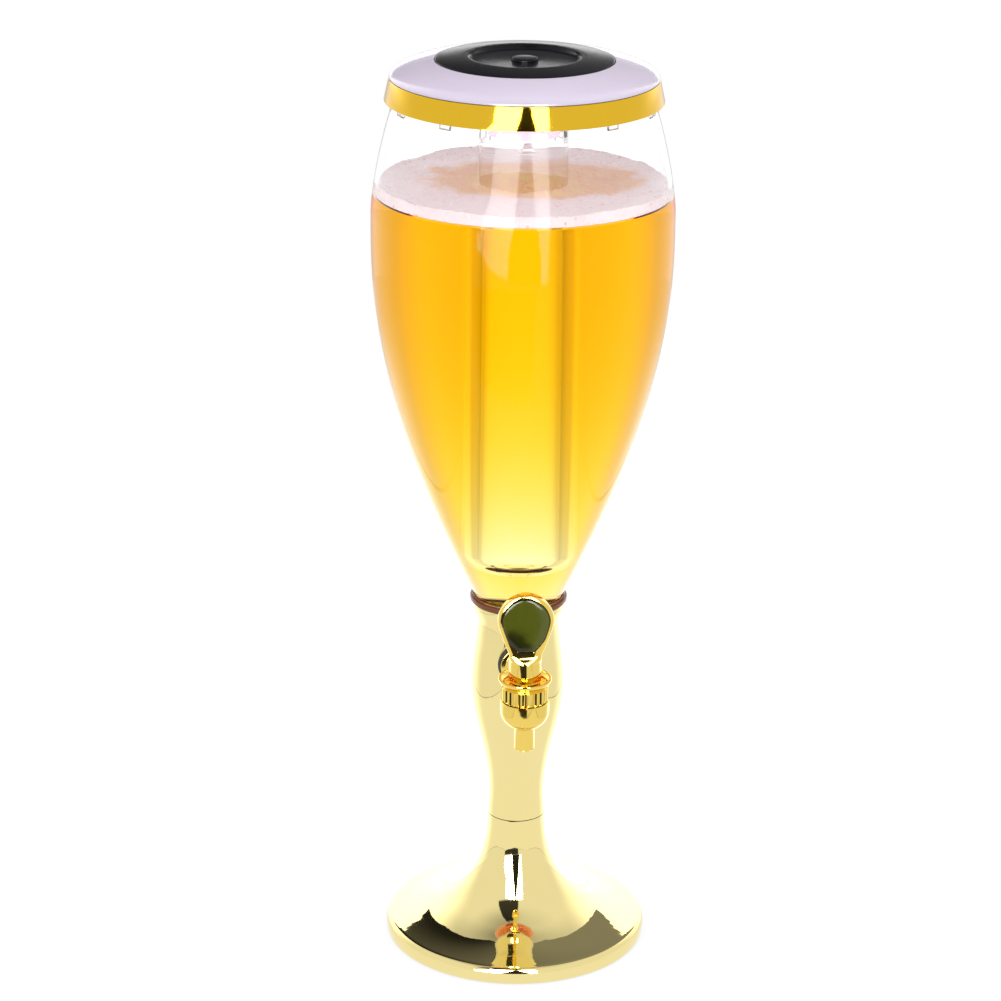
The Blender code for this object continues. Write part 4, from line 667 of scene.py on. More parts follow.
@dataclass(frozen=True)
class Wetted(Clear):
    """Clear plastic with beer on it, which takes a deeper amber where the drink stands high."""

    low: float = 0.27
    high: float = 0.40
    amber: Colour = (1.0, 0.935, 0.12)

    def colours(self, paint: Paint, place: Socket, cloud: Socket) -> Socket:
        """Tint that deepens upwards."""
        plain = super().colours(paint, place, cloud)
        return paint.mix(paint.axis(place, "Z").above(self.low, self.high), plain, self.amber)


@dataclass(frozen=True)
class Brew(Look):
    """Filtered beer: clear, with an absorption that deepens from straw to amber with depth."""

    pass_colour: Colour = (1.0, 0.872, 0.2)
    density: float = 40.0
    ior: float = 1.34

    def inputs(self, paint: Paint, place: Socket) -> dict:
        """Sockets of the Principled shader."""
        haze = paint.noise(place, 40.0, 2.0)
        return {
            "Base Color": paint.mix(haze, (1.0, 0.995, 0.98), (1.0, 1.0, 0.995)),
            "Roughness": 0.0,
            "Transmission Weight": 1.0,
            "IOR": self.ior,
            "Specular Tint": BLACK,
        }

    def filling(self, paint: Paint) -> Socket:
        """Absorption of the drink."""
        sockets = {"Color": self.pass_colour, "Density": self.density}
        return paint.node("ShaderNodeVolumeAbsorption", None, sockets)


@dataclass(frozen=True)
class Head(Look):
    """Beer foam: dense pale bubbles at the wall, thin and beer-coloured towards the tube; it has a painted glow in
    its own colour, though foam is no lamp, and painted shade in its bubble pits and along the beer line.
    """

    pale: Colour = (0.94, 0.79, 0.81)
    tan: Colour = (0.84, 0.54, 0.38)
    beer: Colour = (0.98, 0.72, 0.34)
    # dark: colour of the random mottling, and of the painted shade in bubble pits and along the beer line
    dark: Colour = (0.50, 0.34, 0.31)
    pool: Point = (0.006, 0.014, 0.064, 0.046)
    level: float = 0.4746
    # painted glow: emission strength that makes the foam give off light, though it is no lamp
    glow: float = 0.36
    patch_reach: float = 0.45
    fringe_reach: float = 0.35
    bubble_scale: float = 650.0
    large_scale: float = 260.0

    def inputs(self, paint: Paint, place: Socket) -> dict:
        """Sockets of the Principled shader."""
        x, y, z = (paint.axis(place, letter) for letter in "XYZ")
        across = (x - self.pool[0]) / self.pool[2]
        along = (y - self.pool[1]) / self.pool[3]
        patch = paint.noise(place, 55.0, 4.0)
        fringe = paint.noise(place, 160.0, 3.0)
        radius = (across * across + along * along) ** 0.5
        radius = radius + (patch - 0.5) * self.patch_reach + (fringe - 0.5) * self.fringe_reach
        bank = radius.above(0.82, 1.12)
        bubbles, large = (paint.node("ShaderNodeTexVoronoi", None, {"Vector": place, "Scale": scale})
                          for scale in (self.bubble_scale, self.large_scale))
        cells = (1 - bubbles) * 0.6 + (1 - large) * 0.4
        # painted shade: dark dots in the bubble pits of the bank
        pit_shade = (1 - large.above(0.14, 0.34)) * patch.above(0.44, 0.58) * bank
        tube = (x * x + y * y) ** 0.5
        pool = (1 - tube.above(0.027, 0.05)) * fringe.above(0.4, 0.6)
        surface = paint.mix(bank, paint.mix(pool * 0.6, self.tan, self.beer), self.pale)
        surface = paint.mix(fringe.above(0.42, 0.62) * 0.16, surface, self.dark)
        # painted shade: dark bubbles along the beer line at the wall
        rim = (1 - z.above(self.level, self.level + 0.002)) * (1 - bubbles.above(0.2, 0.45))
        shaded = paint.mix(pit_shade * 0.6, paint.mix(rim * 0.7, surface, self.dark), self.dark)
        return {
            "Base Color": shaded,
            "Roughness": 0.45 - bank * 0.1,
            # painted glow: the foam gives off light in its own colour, painted shade included
            "Emission Color": shaded,
            "Emission Strength": self.glow,
            "Normal": paint.bump(cells, 0.7, 0.0008),
        }


@dataclass(frozen=True)
class Swirled(Finish):
    """Glossy cast resin, olive with a darker cloud low on one side."""

    deep: Colour = (0.022, 0.024, 0.003)
    middle: Point = (-0.007, 0.0, 0.229)
    reach: float = 0.014

    def colours(self, paint: Paint, place: Socket) -> Socket:
        """Olive that sinks into the dark cloud."""
        wander = paint.noise(place, 110.0, 3.0)
        away = paint.node("ShaderNodeVectorMath", {"operation": "SUBTRACT"}, {0: place, 1: self.middle})
        x, z = (paint.axis(paint.stretched(away, (1.0, 0.0, 0.75)), letter) for letter in "XZ")
        distance = (x * x + z * z) ** 0.5 + (wander - 0.5) * 0.012
        streaks = paint.noise(paint.stretched(place, (420.0, 420.0, 90.0)), 1.0, 2.0)
        bright = paint.mix(streaks * 0.5, self.colour, tuple(c * 0.72 for c in self.colour))
        return paint.mix(distance.above(self.reach * 0.35, self.reach), self.deep, bright)


class Finishes(Enum):
    """Every finish of the dispenser. Wall and drink bend light as one: WET and SIDE faces bend nothing."""

    CHAMPAGNE = Plating((0.90, 0.76, 0.34), 0.035, 1.0, 0.1, tint=0.02, sway=0.03)
    GOLD = Plating((0.88, 0.64, 0.14), 0.06, 1.0, 0.1, tint=0.03, sway=0.04)
    BAND_GOLD = Plating((0.80, 0.49, 0.025), 0.05, 1.0, 0.1, tint=0.02, sway=0.02)
    CLEAR = Clear()
    CLEAR_FULL = Clear(ior=1.34, shine=0.25, painted_edge_shade=0.0)
    TUBE_FULL = Clear(ior=1.34, shine=0.1, painted_edge_shade=0.15)
    TUBE_WET = Clear(scuffs=0.0, shine=0.0, ior=1.002, painted_edge_shade=0.0)
    CLEAR_WET = Wetted(scuffs=0.0, shine=0.0, ior=1.002, painted_edge_shade=0.0)
    BREW_SIDE = Brew(ior=1.002)
    TUBE_CLEAR = Clear((0.985, 0.985, 0.99), wave=0.03)
    SILICONE = Clear((0.92, 0.9, 0.88), 0.45, 1.41)
    # painted glow: the lens gives off light of its own, though the LEDs behind it give none
    LENS = Clear((0.90, 0.74, 0.82), 0.35, 1.49, through=0.5, glow=0.4)
    PEARL = Speckled((0.70, 0.62, 0.76), 0.24, 0.0, 0.5, tint=0.02, grain=0.03)
    BLACK_GLOSS = Finish((0.006, 0.005, 0.007), 0.22, grain=0.04, specular=0.15)
    BLACK_SATIN = Finish((0.016, 0.016, 0.018), 0.42, grain=0.25)
    BLACK_RUBBER = Finish((0.02, 0.02, 0.02), 0.75, grain=0.5, grain_scale=1500.0)
    SEAL = Finish((0.19, 0.05, 0.012), 0.3, grain=0.12)
    WHITE = Finish((0.78, 0.77, 0.73), 0.4, grain=0.12)
    OLIVE = Swirled((0.105, 0.12, 0.010), 0.08, coat=0.1, specular=0.3)
    OLIVE_EDGE = Finish((0.012, 0.009, 0.003), 0.12, coat=0.1, grain=0.0, specular=0.3)
    STEEL = Brushed((0.60, 0.61, 0.63), 0.28, 1.0, grain=0.3)
    CAST_IRON = Finish((0.07, 0.07, 0.075), 0.6, 0.7, grain=0.9, grain_scale=700.0, tint=0.2)
    BOARD = Speckled((0.012, 0.14, 0.05), 0.35, coat=0.3, flake=(0.3, 0.42, 0.2), share=0.35)
    JACKET = Finish((0.12, 0.12, 0.14), 0.3, coat=0.4, grain=0.05)
    LAMP = Clear((0.97, 0.97, 0.9), 0.05, 1.5)
    BREW = Brew()
    HEAD = Head()


@dataclass
class Assembly:
    """A group of pieces that are made and dressed together."""

    made: list[str] = field(default_factory=list)

    def add(self, obj: bpy.types.Object, finish: Finishes, body: Body, *nodes: str) -> bpy.types.Object:
        """Dress a piece, put it on its body and let it stand for its nodes.

        Args:
            obj: the piece.
            finish: its finish.
            body: the body that it rides on.
            nodes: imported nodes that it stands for.

        Returns:
            The piece.
        """
        obj.data.materials.clear()
        obj.data.materials.append(finish.value.dress(f"{obj.name}_{finish.name.lower()}"))
        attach(obj, body.value)
        if nodes:
            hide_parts(*nodes)
        self.made.append(obj.name)
        log.info("%s: %s on %s", obj.name, finish.name, body.value)
        return obj

    def add_turned(self, name: str, corners: list[Point], segments: int, finish: Finishes, body: Body,
                   node: str, **placing: Point | str) -> None:
        """Turn a plain ring or disc with eased corners, and add it.

        Args:
            name: the object's name.
            corners: corners of its profile, as Shape.eased takes them.
            segments: steps round the axis.
            finish: its finish.
            body: the body that it rides on.
            node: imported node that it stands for.
            placing: centre or axis, as Shape.turned takes them.
        """
        self.add(Shape.turned(name, Shape.eased(corners), segments, **placing), finish, body, node)

    @staticmethod
    def part(obj: bpy.types.Object, finish: Finishes, chosen: Callable[[bpy.types.MeshPolygon], bool]) -> None:
        """Dress some faces of a piece with a finish of their own.

        Args:
            obj: the piece, already dressed.
            finish: the finish of those faces.
            chosen: tells whether a face is one of them.
        """
        index = len(obj.data.materials)
        obj.data.materials.append(finish.value.dress(f"{obj.name}_{finish.name.lower()}"))
        for face in obj.data.polygons:
            if chosen(face):
                face.material_index = index

    @classmethod
    def wet(cls, obj: bpy.types.Object, level: float, outward: bool) -> None:
        """Dress the faces that the drink touches and those behind them.

        Args:
            obj: the clear piece.
            level: height of the drink, in millimetres.
            outward: whether the drink is outside the piece rather than inside it.
        """
        def side(face: bpy.types.MeshPolygon, away: bool) -> bool:
            """Whether a face lies below the level and faces away from the axis, or towards it."""
            outwards = face.normal.x * face.center.x + face.normal.y * face.center.y > 0
            return face.center.z < level * MM and outwards == away

        wet, dry = ((Finishes.TUBE_WET, Finishes.TUBE_FULL) if outward else
                    (Finishes.CLEAR_WET, Finishes.CLEAR_FULL))
        cls.part(obj, wet, lambda face: side(face, outward))
        cls.part(obj, dry, lambda face: side(face, not outward))

    def keep(self, finish: Finishes, *nodes: str) -> None:
        """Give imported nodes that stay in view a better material.

        Args:
            finish: their finish.
            nodes: the nodes.
        """
        for node in nodes:
            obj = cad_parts[node]
            material = finish.value.dress(f"{node}_{finish.name.lower()}")
            for material_slot in obj.material_slots:
                material_slot.material = material
            self.made.append(node)


@dataclass
class Foot(Assembly):
    """Weighted round foot under the stem."""

    radius: float = 80.0
    height: float = 79.2
    wall: float = 2.2
    lip_radius: float = 77.8
    lip_height: float = 10.5
    neck_radius: float = 18.0
    rim_lift: float = 0.8
    spigot_radius: float = 15.1
    spigot_bore: float = 12.9
    spigot_top: float = 91.2

    def line(self) -> list[Point]:
        """Outside of the foot from the rim to the stem."""
        rise = self.lip_height - self.rim_lift
        lip = Shape.bezier((self.radius, self.rim_lift), (self.radius + 0.66, self.rim_lift + rise / 2),
                           (self.radius + 0.66, self.rim_lift + rise * 0.85), (self.lip_radius, self.lip_height), 14)
        width = self.lip_radius - self.neck_radius
        climb = self.height - self.lip_height
        flare = Shape.bezier((self.lip_radius, self.lip_height),
                             (self.lip_radius - width * 0.63, self.lip_height + climb * 0.066),
                             (self.neck_radius, self.lip_height + climb * 0.36), (self.neck_radius, self.height), 48)
        return lip + flare[1:]

    def build(self) -> None:
        """Make the shell and dress the parts below it."""
        outer = self.line()
        inner = Shape.offset(outer, self.wall)
        inner[0] = (self.radius - self.wall, self.rim_lift)
        root = self.height - 6.0
        under = [point for point in inner if point[1] < root - self.wall]
        edge = [(self.neck_radius - 0.25, self.height)]
        spigot = [(self.spigot_radius, self.height), (self.spigot_radius, self.spigot_top),
                  (self.spigot_bore, self.spigot_top), (self.spigot_bore, root)]
        profile = outer[:-1] + [(self.neck_radius, self.height - 0.25)] + edge + spigot + under[::-1]
        shell = Shape.turned("foot_cover", profile, 144)
        self.add(shell, Finishes.CHAMPAGNE, Body.TOWER, "foot_shell")
        self.keep(Finishes.CAST_IRON, "foot_weight")
        self.keep(Finishes.STEEL, *(f"base_screw_{number}" for number in range(1, 5)))
        self.keep(Finishes.BLACK_SATIN, "base_plate")
        self.add_turned("grip_pad", [(0, 0), (56.0, 0, 0.4), (56.0, 1.6, 0.4), (0, 1.6)], 96,
                        Finishes.BLACK_RUBBER, Body.TOWER, "non_slip_pad")


@dataclass
class Stem(Assembly):
    """Plated stem with the reservoir cup inside it and the seal on top."""

    base: float = 79.5
    length: float = 141.0
    wall: float = 2.0
    stations: tuple[Point, ...] = ((18.0, 0), (17.4, 13.5), (29.1, 87.5), (25.9, 126.5), (28.6, 141.0))
    tap_height: float = 189.4
    pad_root: float = 23.8
    pad_face: float = 28.6
    pad_radius: float = 12.8
    shank_radius: float = 6.2
    edge: float = 0.3

    def line(self) -> list[Point]:
        """Outside of the stem from the foot to the bowl."""
        points: list[Point] = []
        for (r0, z0), (r1, z1), steps in zip(self.stations, self.stations[1:], (6, 30, 18, 8)):
            for step in range(0 if not points else 1, steps + 1):
                t = step / steps
                ease = (1 - math.cos(math.pi * t)) / 2
                points.append((r0 + (r1 - r0) * ease, self.base + z0 + (z1 - z0) * t))
        return points

    def build(self) -> None:
        """Make the stem and the seal, and dress the cup and the lock nut."""
        outer = self.line()
        inner = Shape.offset(outer, self.wall)
        inner[0] = (outer[0][0] - self.wall, outer[0][1])
        inner[-1] = (outer[-1][0] - self.wall, outer[-1][1])
        edge = self.edge
        low = [(outer[0][0] - edge, outer[0][1]), (outer[0][0], outer[0][1] + edge)]
        high = [(outer[-1][0], outer[-1][1] - edge), (outer[-1][0] - edge, outer[-1][1])]
        column = Shape.turned("stem_cover", low + outer[1:-1] + high + inner[::-1], 128)
        pad = Shape.turned("pad", [(0, self.pad_root), (self.pad_radius, self.pad_root),
                                   (self.pad_radius, self.pad_face - edge),
                                   (self.pad_radius - edge, self.pad_face), (0, self.pad_face)], 64)
        hole = self.shank_radius + 0.3
        bore = Shape.turned("bore", [(0, 0), (hole, 0), (hole, 34), (0, 34)], 48)
        forward = Matrix.Translation((0, 0, self.tap_height * MM)) @ Matrix.Rotation(math.pi / 2, 4, "X")
        for piece in (pad, bore):
            piece.data.transform(forward)
        Shape.carve(column, [pad], "UNION")
        Shape.carve(column, [bore])
        self.add(column, Finishes.CHAMPAGNE, Body.TOWER, "stem_column")
        self.keep(Finishes.WHITE, "reservoir_cup", "tap_lock_nut")
        seal = Shape.turned("bowl_seal", Shape.eased([(21.9, 222.3), (27.9, 222.3), (27.9, 220.8, 0.2),
                                                      (29.3, 220.8, 0.6), (29.3, 223.7, 0.7), (21.9, 223.7)], 4), 128)
        self.add(seal, Finishes.SEAL, Body.TOWER, "neck_seal")


@dataclass
class Bowl(Assembly):
    """Clear goblet bowl with the drink and its foam in it."""

    seat: float = 224.0
    wall: float = 2.4
    height: float = 306.0
    bead_radius: float = 28.0
    bead_height: float = 1.5
    neck_radius: float = 27.1
    belly_radius: float = 88.4
    belly_height: float = 237.5
    rim_radius: float = 74.4
    spigot_radius: float = 21.4
    spigot_bore: float = 19.4
    spigot_bottom: float = 206.0
    beer_top: float = 474.5
    bank_top: float = 480.5
    foam_middle: float = 477.3
    bank_share: float = 0.42
    lap_share: float = 0.12
    lap_rise: float = 2.5
    froth: float = 1.6
    froth_scale: float = 45.0
    bubbling: float = 0.7
    bubble_scale: float = 420.0
    sag: float = 13.0
    overlap: float = 0.35
    cup: tuple[Point, ...] = ((0, 171.0), (12.0, 171.0), (19.0, 176.0), (19.0, 201.0))

    def line(self) -> list[Point]:
        """Outside of the bowl from above its bead to its rim."""
        base = self.seat + self.bead_height
        belly = self.seat + self.belly_height
        top = self.seat + self.height
        growth = self.belly_radius - self.neck_radius
        rise = belly - base
        lower = Shape.bezier((self.neck_radius, base), (self.neck_radius + growth * 1.05, base + rise * 0.552),
                             (self.belly_radius, belly - rise * 0.156), (self.belly_radius, belly), 64)
        shoulder = top - belly
        draw_in = self.belly_radius - self.rim_radius
        upper = Shape.bezier((self.belly_radius, belly), (self.belly_radius, belly + shoulder * 0.05),
                             (self.rim_radius + draw_in * 0.93, top - shoulder * 0.60), (self.rim_radius, top), 24)
        return lower + upper[1:]

    def inside(self) -> list[Point]:
        """Inside of the bowl from its throat to its rim."""
        inner = Shape.offset(self.line(), self.wall)
        return [(self.spigot_bore, self.seat)] + inner[:-1] + [(self.rim_radius - self.wall, self.seat + self.height)]

    def build(self) -> None:
        """Make the bowl, the beer and the foam."""
        outer = self.line()
        top = self.seat + self.height
        half = self.wall / 2
        rim = Shape.bezier((self.rim_radius, top - half), (self.rim_radius, top + 0.1),
                           (self.rim_radius - self.wall, top + 0.1), (self.rim_radius - self.wall, top - half), 8)
        rim = [(r, min(z, top)) for r, z in rim]
        bead = Shape.eased([(self.spigot_bore, self.spigot_bottom, 0.6),
                            (self.spigot_radius, self.spigot_bottom, 0.6),
                            (self.spigot_radius, self.seat, 0.2), (self.bead_radius, self.seat, 0.5),
                            (self.bead_radius, self.seat + self.bead_height, 0.6),
                            (self.neck_radius, self.seat + self.bead_height + 0.1, 0.1)])[:-3]
        inner = self.inside()
        shell = Shape.turned("bowl_clear", bead + outer[1:-1] + rim + inner[-2::-1], 160)
        self.add(shell, Finishes.CLEAR, Body.TOWER, "bowl")
        self.wet(shell, self.beer_top, outward=False)
        self.fill(inner)

    def fill(self, inner: list[Point]) -> None:
        """Make the beer, which fills the cup and the bowl, and the foam on it.

        Args:
            inner: inside line of the bowl.
        """
        wet = [(r + self.overlap, z) for r, z in inner if z < self.beer_top - 1.0]
        brim = Shape.at_height(inner, self.beer_top) + self.overlap
        hole = IceTube.outside(self.beer_top)
        throat = (self.spigot_bore + self.overlap, self.spigot_bottom + 1.0)
        tube = [(max(r - self.overlap, 0), z + (self.overlap if r < 18.0 else 0)) for r, z in hole]
        profile = [*self.cup, throat, *wet, (brim, self.beer_top), *tube[::-1]]
        beer = Shape.turned("beer", profile, 160)
        self.add(beer, Finishes.BREW, Body.TOWER)
        self.part(beer, Finishes.BREW_SIDE, lambda face: face.center.z < (self.beer_top - 0.05) * MM)

        near = IceTube.wall_radius(self.bank_top) - self.overlap
        far = Shape.at_height(inner, self.bank_top) + self.overlap
        steps = 56
        crest: list[Point] = []
        for step in range(steps + 1):
            t = step / steps
            radius = far + (near - far) * t
            bank = max(1 - t / self.bank_share, 0) ** 1.6
            lap = max(1 - (1 - t) / self.lap_share, 0) ** 2
            height = self.foam_middle + (self.bank_top - self.foam_middle) * bank + self.lap_rise * lap
            crest.append((radius, height))
        base = self.beer_top + 0.15
        side = [(Shape.at_height(inner, height) + self.overlap, height)
                for height in (base, (base + self.bank_top) / 2)]
        foam = Shape.turned("foam", side + crest + [(near, base)], 320)
        for vertex in foam.data.vertices:
            if vertex.co.z > (base + 1.0) * MM:
                broad = noise.noise(vertex.co * self.froth_scale)
                fine = noise.fractal(vertex.co * self.bubble_scale, 1.0, 2.0, 3)
                vertex.co.z += (broad * self.froth + fine * self.bubbling) * MM
            elif math.hypot(vertex.co.x, vertex.co.y) < (near + 1.0) * MM:
                vertex.co.z -= self.sag * MM * min(max(vertex.co.y / (near * MM) + 0.4, 0.0), 1.0)
        self.add(foam, Finishes.HEAD, Body.TOWER)


@dataclass
class Tap(Assembly):
    """Tap body, bonnet, valve and lever; heights are counted from the shank's axis."""

    height: float = 189.4
    reach: float = 96.0
    barrel_radius: float = 14.25
    barrel_top: float = 6.2
    barrel_bottom: float = 11.0
    barrel_foot_radius: float = 6.4
    neck_radius: float = 11.4
    neck_top: float = 13.3
    chamber_radius: float = 9.6
    spout_radius: float = 5.9
    spout_bore: float = 4.4
    spout_length: float = 13.4
    shank_radius: float = 6.2
    shank_bore: float = 4.2
    shank_end: float = 88.0
    flange_radius: float = 11.6
    flange_back: float = 64.9
    flange_front: float = 62.3
    grip_bottom: float = 6.5
    grip_top: float = 15.1
    grip_radius: float = 13.6
    rib_depth: float = 0.75
    ribs: int = 24
    rim_radius: float = 15.5
    rim_top: float = 20.4
    floor: float = 17.2
    gasket_gap: float = 0.3
    gasket_thickness: float = 1.9
    pin: float = 22.0
    pin_hole: float = 1.4
    tilt: float = 35.0
    hub_radius: float = 9.4
    paddle_bottom: float = 14.0
    paddle_middle: float = 51.3 - 16.2
    paddle_radius: float = 16.2

    @property
    def centre(self) -> Point:
        """Where the barrel's axis meets the shank's axis."""
        return (0, -self.reach, self.height)

    def build(self) -> None:
        """Make the tap from the stem outwards."""
        self.build_body()
        self.build_bonnet()
        self.build_fixings()
        self.build_valve()
        self.build_handle()

    def build_body(self) -> None:
        """Make the moulded body."""
        spout_bottom = -self.barrel_bottom - self.spout_length
        bend = Shape.bezier((self.barrel_foot_radius, -self.barrel_bottom), (9.15, -9.46),
                            (self.barrel_radius, -6.16), (self.barrel_radius, 0), 16)
        profile = [(0, spout_bottom + 14), (self.spout_bore, spout_bottom + 14),
                   (self.spout_bore, spout_bottom + 0.3), (self.spout_bore + 0.3, spout_bottom),
                   (self.spout_radius - 0.4, spout_bottom),
                   (self.spout_radius, spout_bottom + 0.4), (self.spout_radius, -self.barrel_bottom - 0.3),
                   (self.spout_radius + 0.2, -self.barrel_bottom)]
        profile += bend + [(self.barrel_radius, self.barrel_top - 0.5), (self.barrel_radius - 0.5, self.barrel_top),
                           (self.neck_radius, self.barrel_top), (self.neck_radius, self.neck_top), (0, self.neck_top)]
        body = Shape.turned("tap_casting", profile, 96)
        fillet = 2.7
        shank = Shape.turned("shank", Shape.eased([
            (0, 2), (self.shank_radius, 2), (self.shank_radius, self.flange_front - fillet, 2.0),
            (self.shank_radius + fillet, self.flange_front, 0.4), (self.flange_radius, self.flange_front, 0.5),
            (self.flange_radius, self.flange_back, 0.3), (self.shank_radius, self.flange_back),
            (self.shank_radius, self.shank_end, 0.4), (0, self.shank_end)], 4), 64, axis="Y")
        Shape.carve(body, [shank], "UNION")
        chamber = Shape.turned("chamber", [(0, spout_bottom + 13), (self.spout_bore, spout_bottom + 13),
                                           (self.spout_bore, -9.5), (self.chamber_radius, -4.5),
                                           (self.chamber_radius, self.neck_top + 2), (0, self.neck_top + 2)], 64)
        bore = Shape.turned("bore", [(0, 0), (self.shank_bore, 0), (self.shank_bore, 92), (0, 92)], 40, axis="Y")
        Shape.carve(body, [chamber, bore])
        body.data.transform(Matrix.Translation(Vector(self.centre) * MM))
        self.add(body, Finishes.GOLD, Body.TOWER, "tap_body")

    def ribbed(self, radius: float, height: float, angle: float) -> float:
        """Radius of the bonnet's grip with its flat ribs.

        Args:
            radius: plain radius.
            height: height of the point.
            angle: angle of the point.

        Returns:
            The radius with the groove between ribs taken off.
        """
        if radius < self.grip_radius - 0.2 or not self.grip_bottom + 0.4 < height < self.grip_top - 0.1:
            return radius
        wave = math.cos(self.ribs * angle)
        groove = min(max(0.5 - wave * 1.6, 0), 1)
        return radius - self.rib_depth * groove

    def build_bonnet(self) -> None:
        """Make the ribbed ring with its dish."""
        rim_inner = self.rim_radius - 0.9
        flare = Shape.bezier((12.9, self.grip_top + 0.15), (12.9, self.grip_top + 2.4), (self.rim_radius, 17.6),
                             (self.rim_radius, self.rim_top - 0.6), 10)
        dish = Shape.bezier((rim_inner, self.rim_top - 0.1), (rim_inner, 18.9), (12.3, self.floor),
                            (10.6, self.floor), 10)
        profile = [(11.7, self.grip_bottom), (self.grip_radius - 0.4, self.grip_bottom),
                   (self.grip_radius, self.grip_bottom + 0.4), (self.grip_radius, self.grip_bottom + 0.45),
                   (self.grip_radius, self.grip_bottom + 1.0), (self.grip_radius, self.grip_top - 0.6),
                   (self.grip_radius, self.grip_top - 0.15), (self.grip_radius, self.grip_top - 0.05),
                   (self.grip_radius - 0.2, self.grip_top + 0.1)]
        profile += flare + [(self.rim_radius - 0.15, self.rim_top - 0.15), (self.rim_radius - 0.45, self.rim_top),
                            (rim_inner + 0.15, self.rim_top)]
        profile += dish + [(3.6, self.floor), (3.3, self.floor - 0.3), (3.3, 10.2), (5.2, 10.2), (5.2, 14.2),
                           (11.7, 14.2)]
        bonnet = Shape.turned("tap_collar", profile, 192, self.centre, ripple=self.ribbed)
        self.add(bonnet, Finishes.GOLD, Body.TOWER, "tap_bonnet")

    def build_fixings(self) -> None:
        """Make the gasket, and dress the washer behind the stem."""
        near = self.reach - Stem.pad_face - self.gasket_gap - self.gasket_thickness
        far = near + self.gasket_thickness
        self.add_turned("stem_gasket", [(6.5, near), (13.2, near, 0.5), (13.2, far, 0.5), (6.5, far)], 72,
                        Finishes.BLACK_RUBBER, Body.TOWER, "tap_gasket", centre=self.centre, axis="Y")
        self.keep(Finishes.SILICONE, "tap_inner_washer")

    def build_valve(self) -> None:
        """Make the valve rod and its spring; the seal and the pin keep their solids."""
        rod = Shape.turned("lift_rod", [(0, -4.7), (3.0, -4.7), (3.0, 0), (8.4, 0), (8.4, 1.4), (3.0, 1.4),
                                        (3.0, 24.5), (2.5, 25.0), (0, 25.0)], 48, self.centre)
        hole = Shape.turned("hole", [(0, -5), (self.pin_hole, -5), (self.pin_hole, 5), (0, 5)], 24,
                            (0, -self.reach, self.height + self.pin), "X")
        Shape.carve(rod, [hole])
        self.add(rod, Finishes.STEEL, Body.VALVE, "valve_stem")
        self.keep(Finishes.SILICONE, "valve_seal")
        self.keep(Finishes.STEEL, "handle_pin")
        low, high, lift = 191.1, 203.3, 4.2
        spring = Shape.coil("lift_spring", 6.9, 0.4, low, high, 5, (0, -self.reach, 0))
        self.add(spring, Finishes.STEEL, Body.TOWER, "valve_spring")
        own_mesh(spring)

    def half_width(self, height: float) -> float:
        """Half the paddle's width.

        Args:
            height: height over the pin.

        Returns:
            Half of the width there.
        """
        rise = height - self.paddle_middle
        if rise >= 0:
            return math.sqrt(max(self.paddle_radius ** 2 - rise ** 2, 0))
        drop = rise / (self.paddle_bottom - self.paddle_middle)
        return self.paddle_radius - (self.paddle_radius - self.hub_radius) * drop ** 1.3

    @staticmethod
    def section(half: float, front: float, back: float, power: float, back_power: float, height: float,
                count: int = 72) -> list[Point]:
        """Closed section of the lever.

        Args:
            half: half of its width.
            front: how far it reaches forward of the pin's plane.
            back: how far it reaches back.
            power: squareness of the front half.
            back_power: squareness of the back half.
            height: height over the pin.
            count: number of points.

        Returns:
            The section's points.
        """
        middle = (back - front) / 2
        depth = (back + front) / 2
        points = []
        for index in range(count):
            angle = math.tau * index / count
            across, along = math.cos(angle), math.sin(angle)
            shape = back_power if along > 0 else power
            x = half * math.copysign(abs(across) ** (2 / shape), across)
            y = middle + depth * math.copysign(abs(along) ** (2 / shape), along)
            points.append((x, y, height))
        return points

    def outline(self, shrink: float, sides: int = 16, arc: int = 40) -> list[Point]:
        """Outline inside the paddle's edge.

        Args:
            shrink: distance from the edge.
            sides: points on each lower side.
            arc: spans of the round top.

        Returns:
            (x, z) points.
        """
        middle = self.paddle_middle
        low = self.paddle_bottom + shrink
        radius = self.paddle_radius - shrink
        side = []
        for step in range(sides):
            height = low + (middle - low) * step / sides
            corner = 1 - 0.45 * max(1 - 2 * step / sides, 0) ** 2
            side.append(((self.half_width(height) - shrink) * corner, height))
        over = [(radius * math.cos(math.pi * step / arc), middle + radius * math.sin(math.pi * step / arc))
                for step in range(arc + 1)]
        return side + over + [(-x, z) for x, z in side[::-1]]

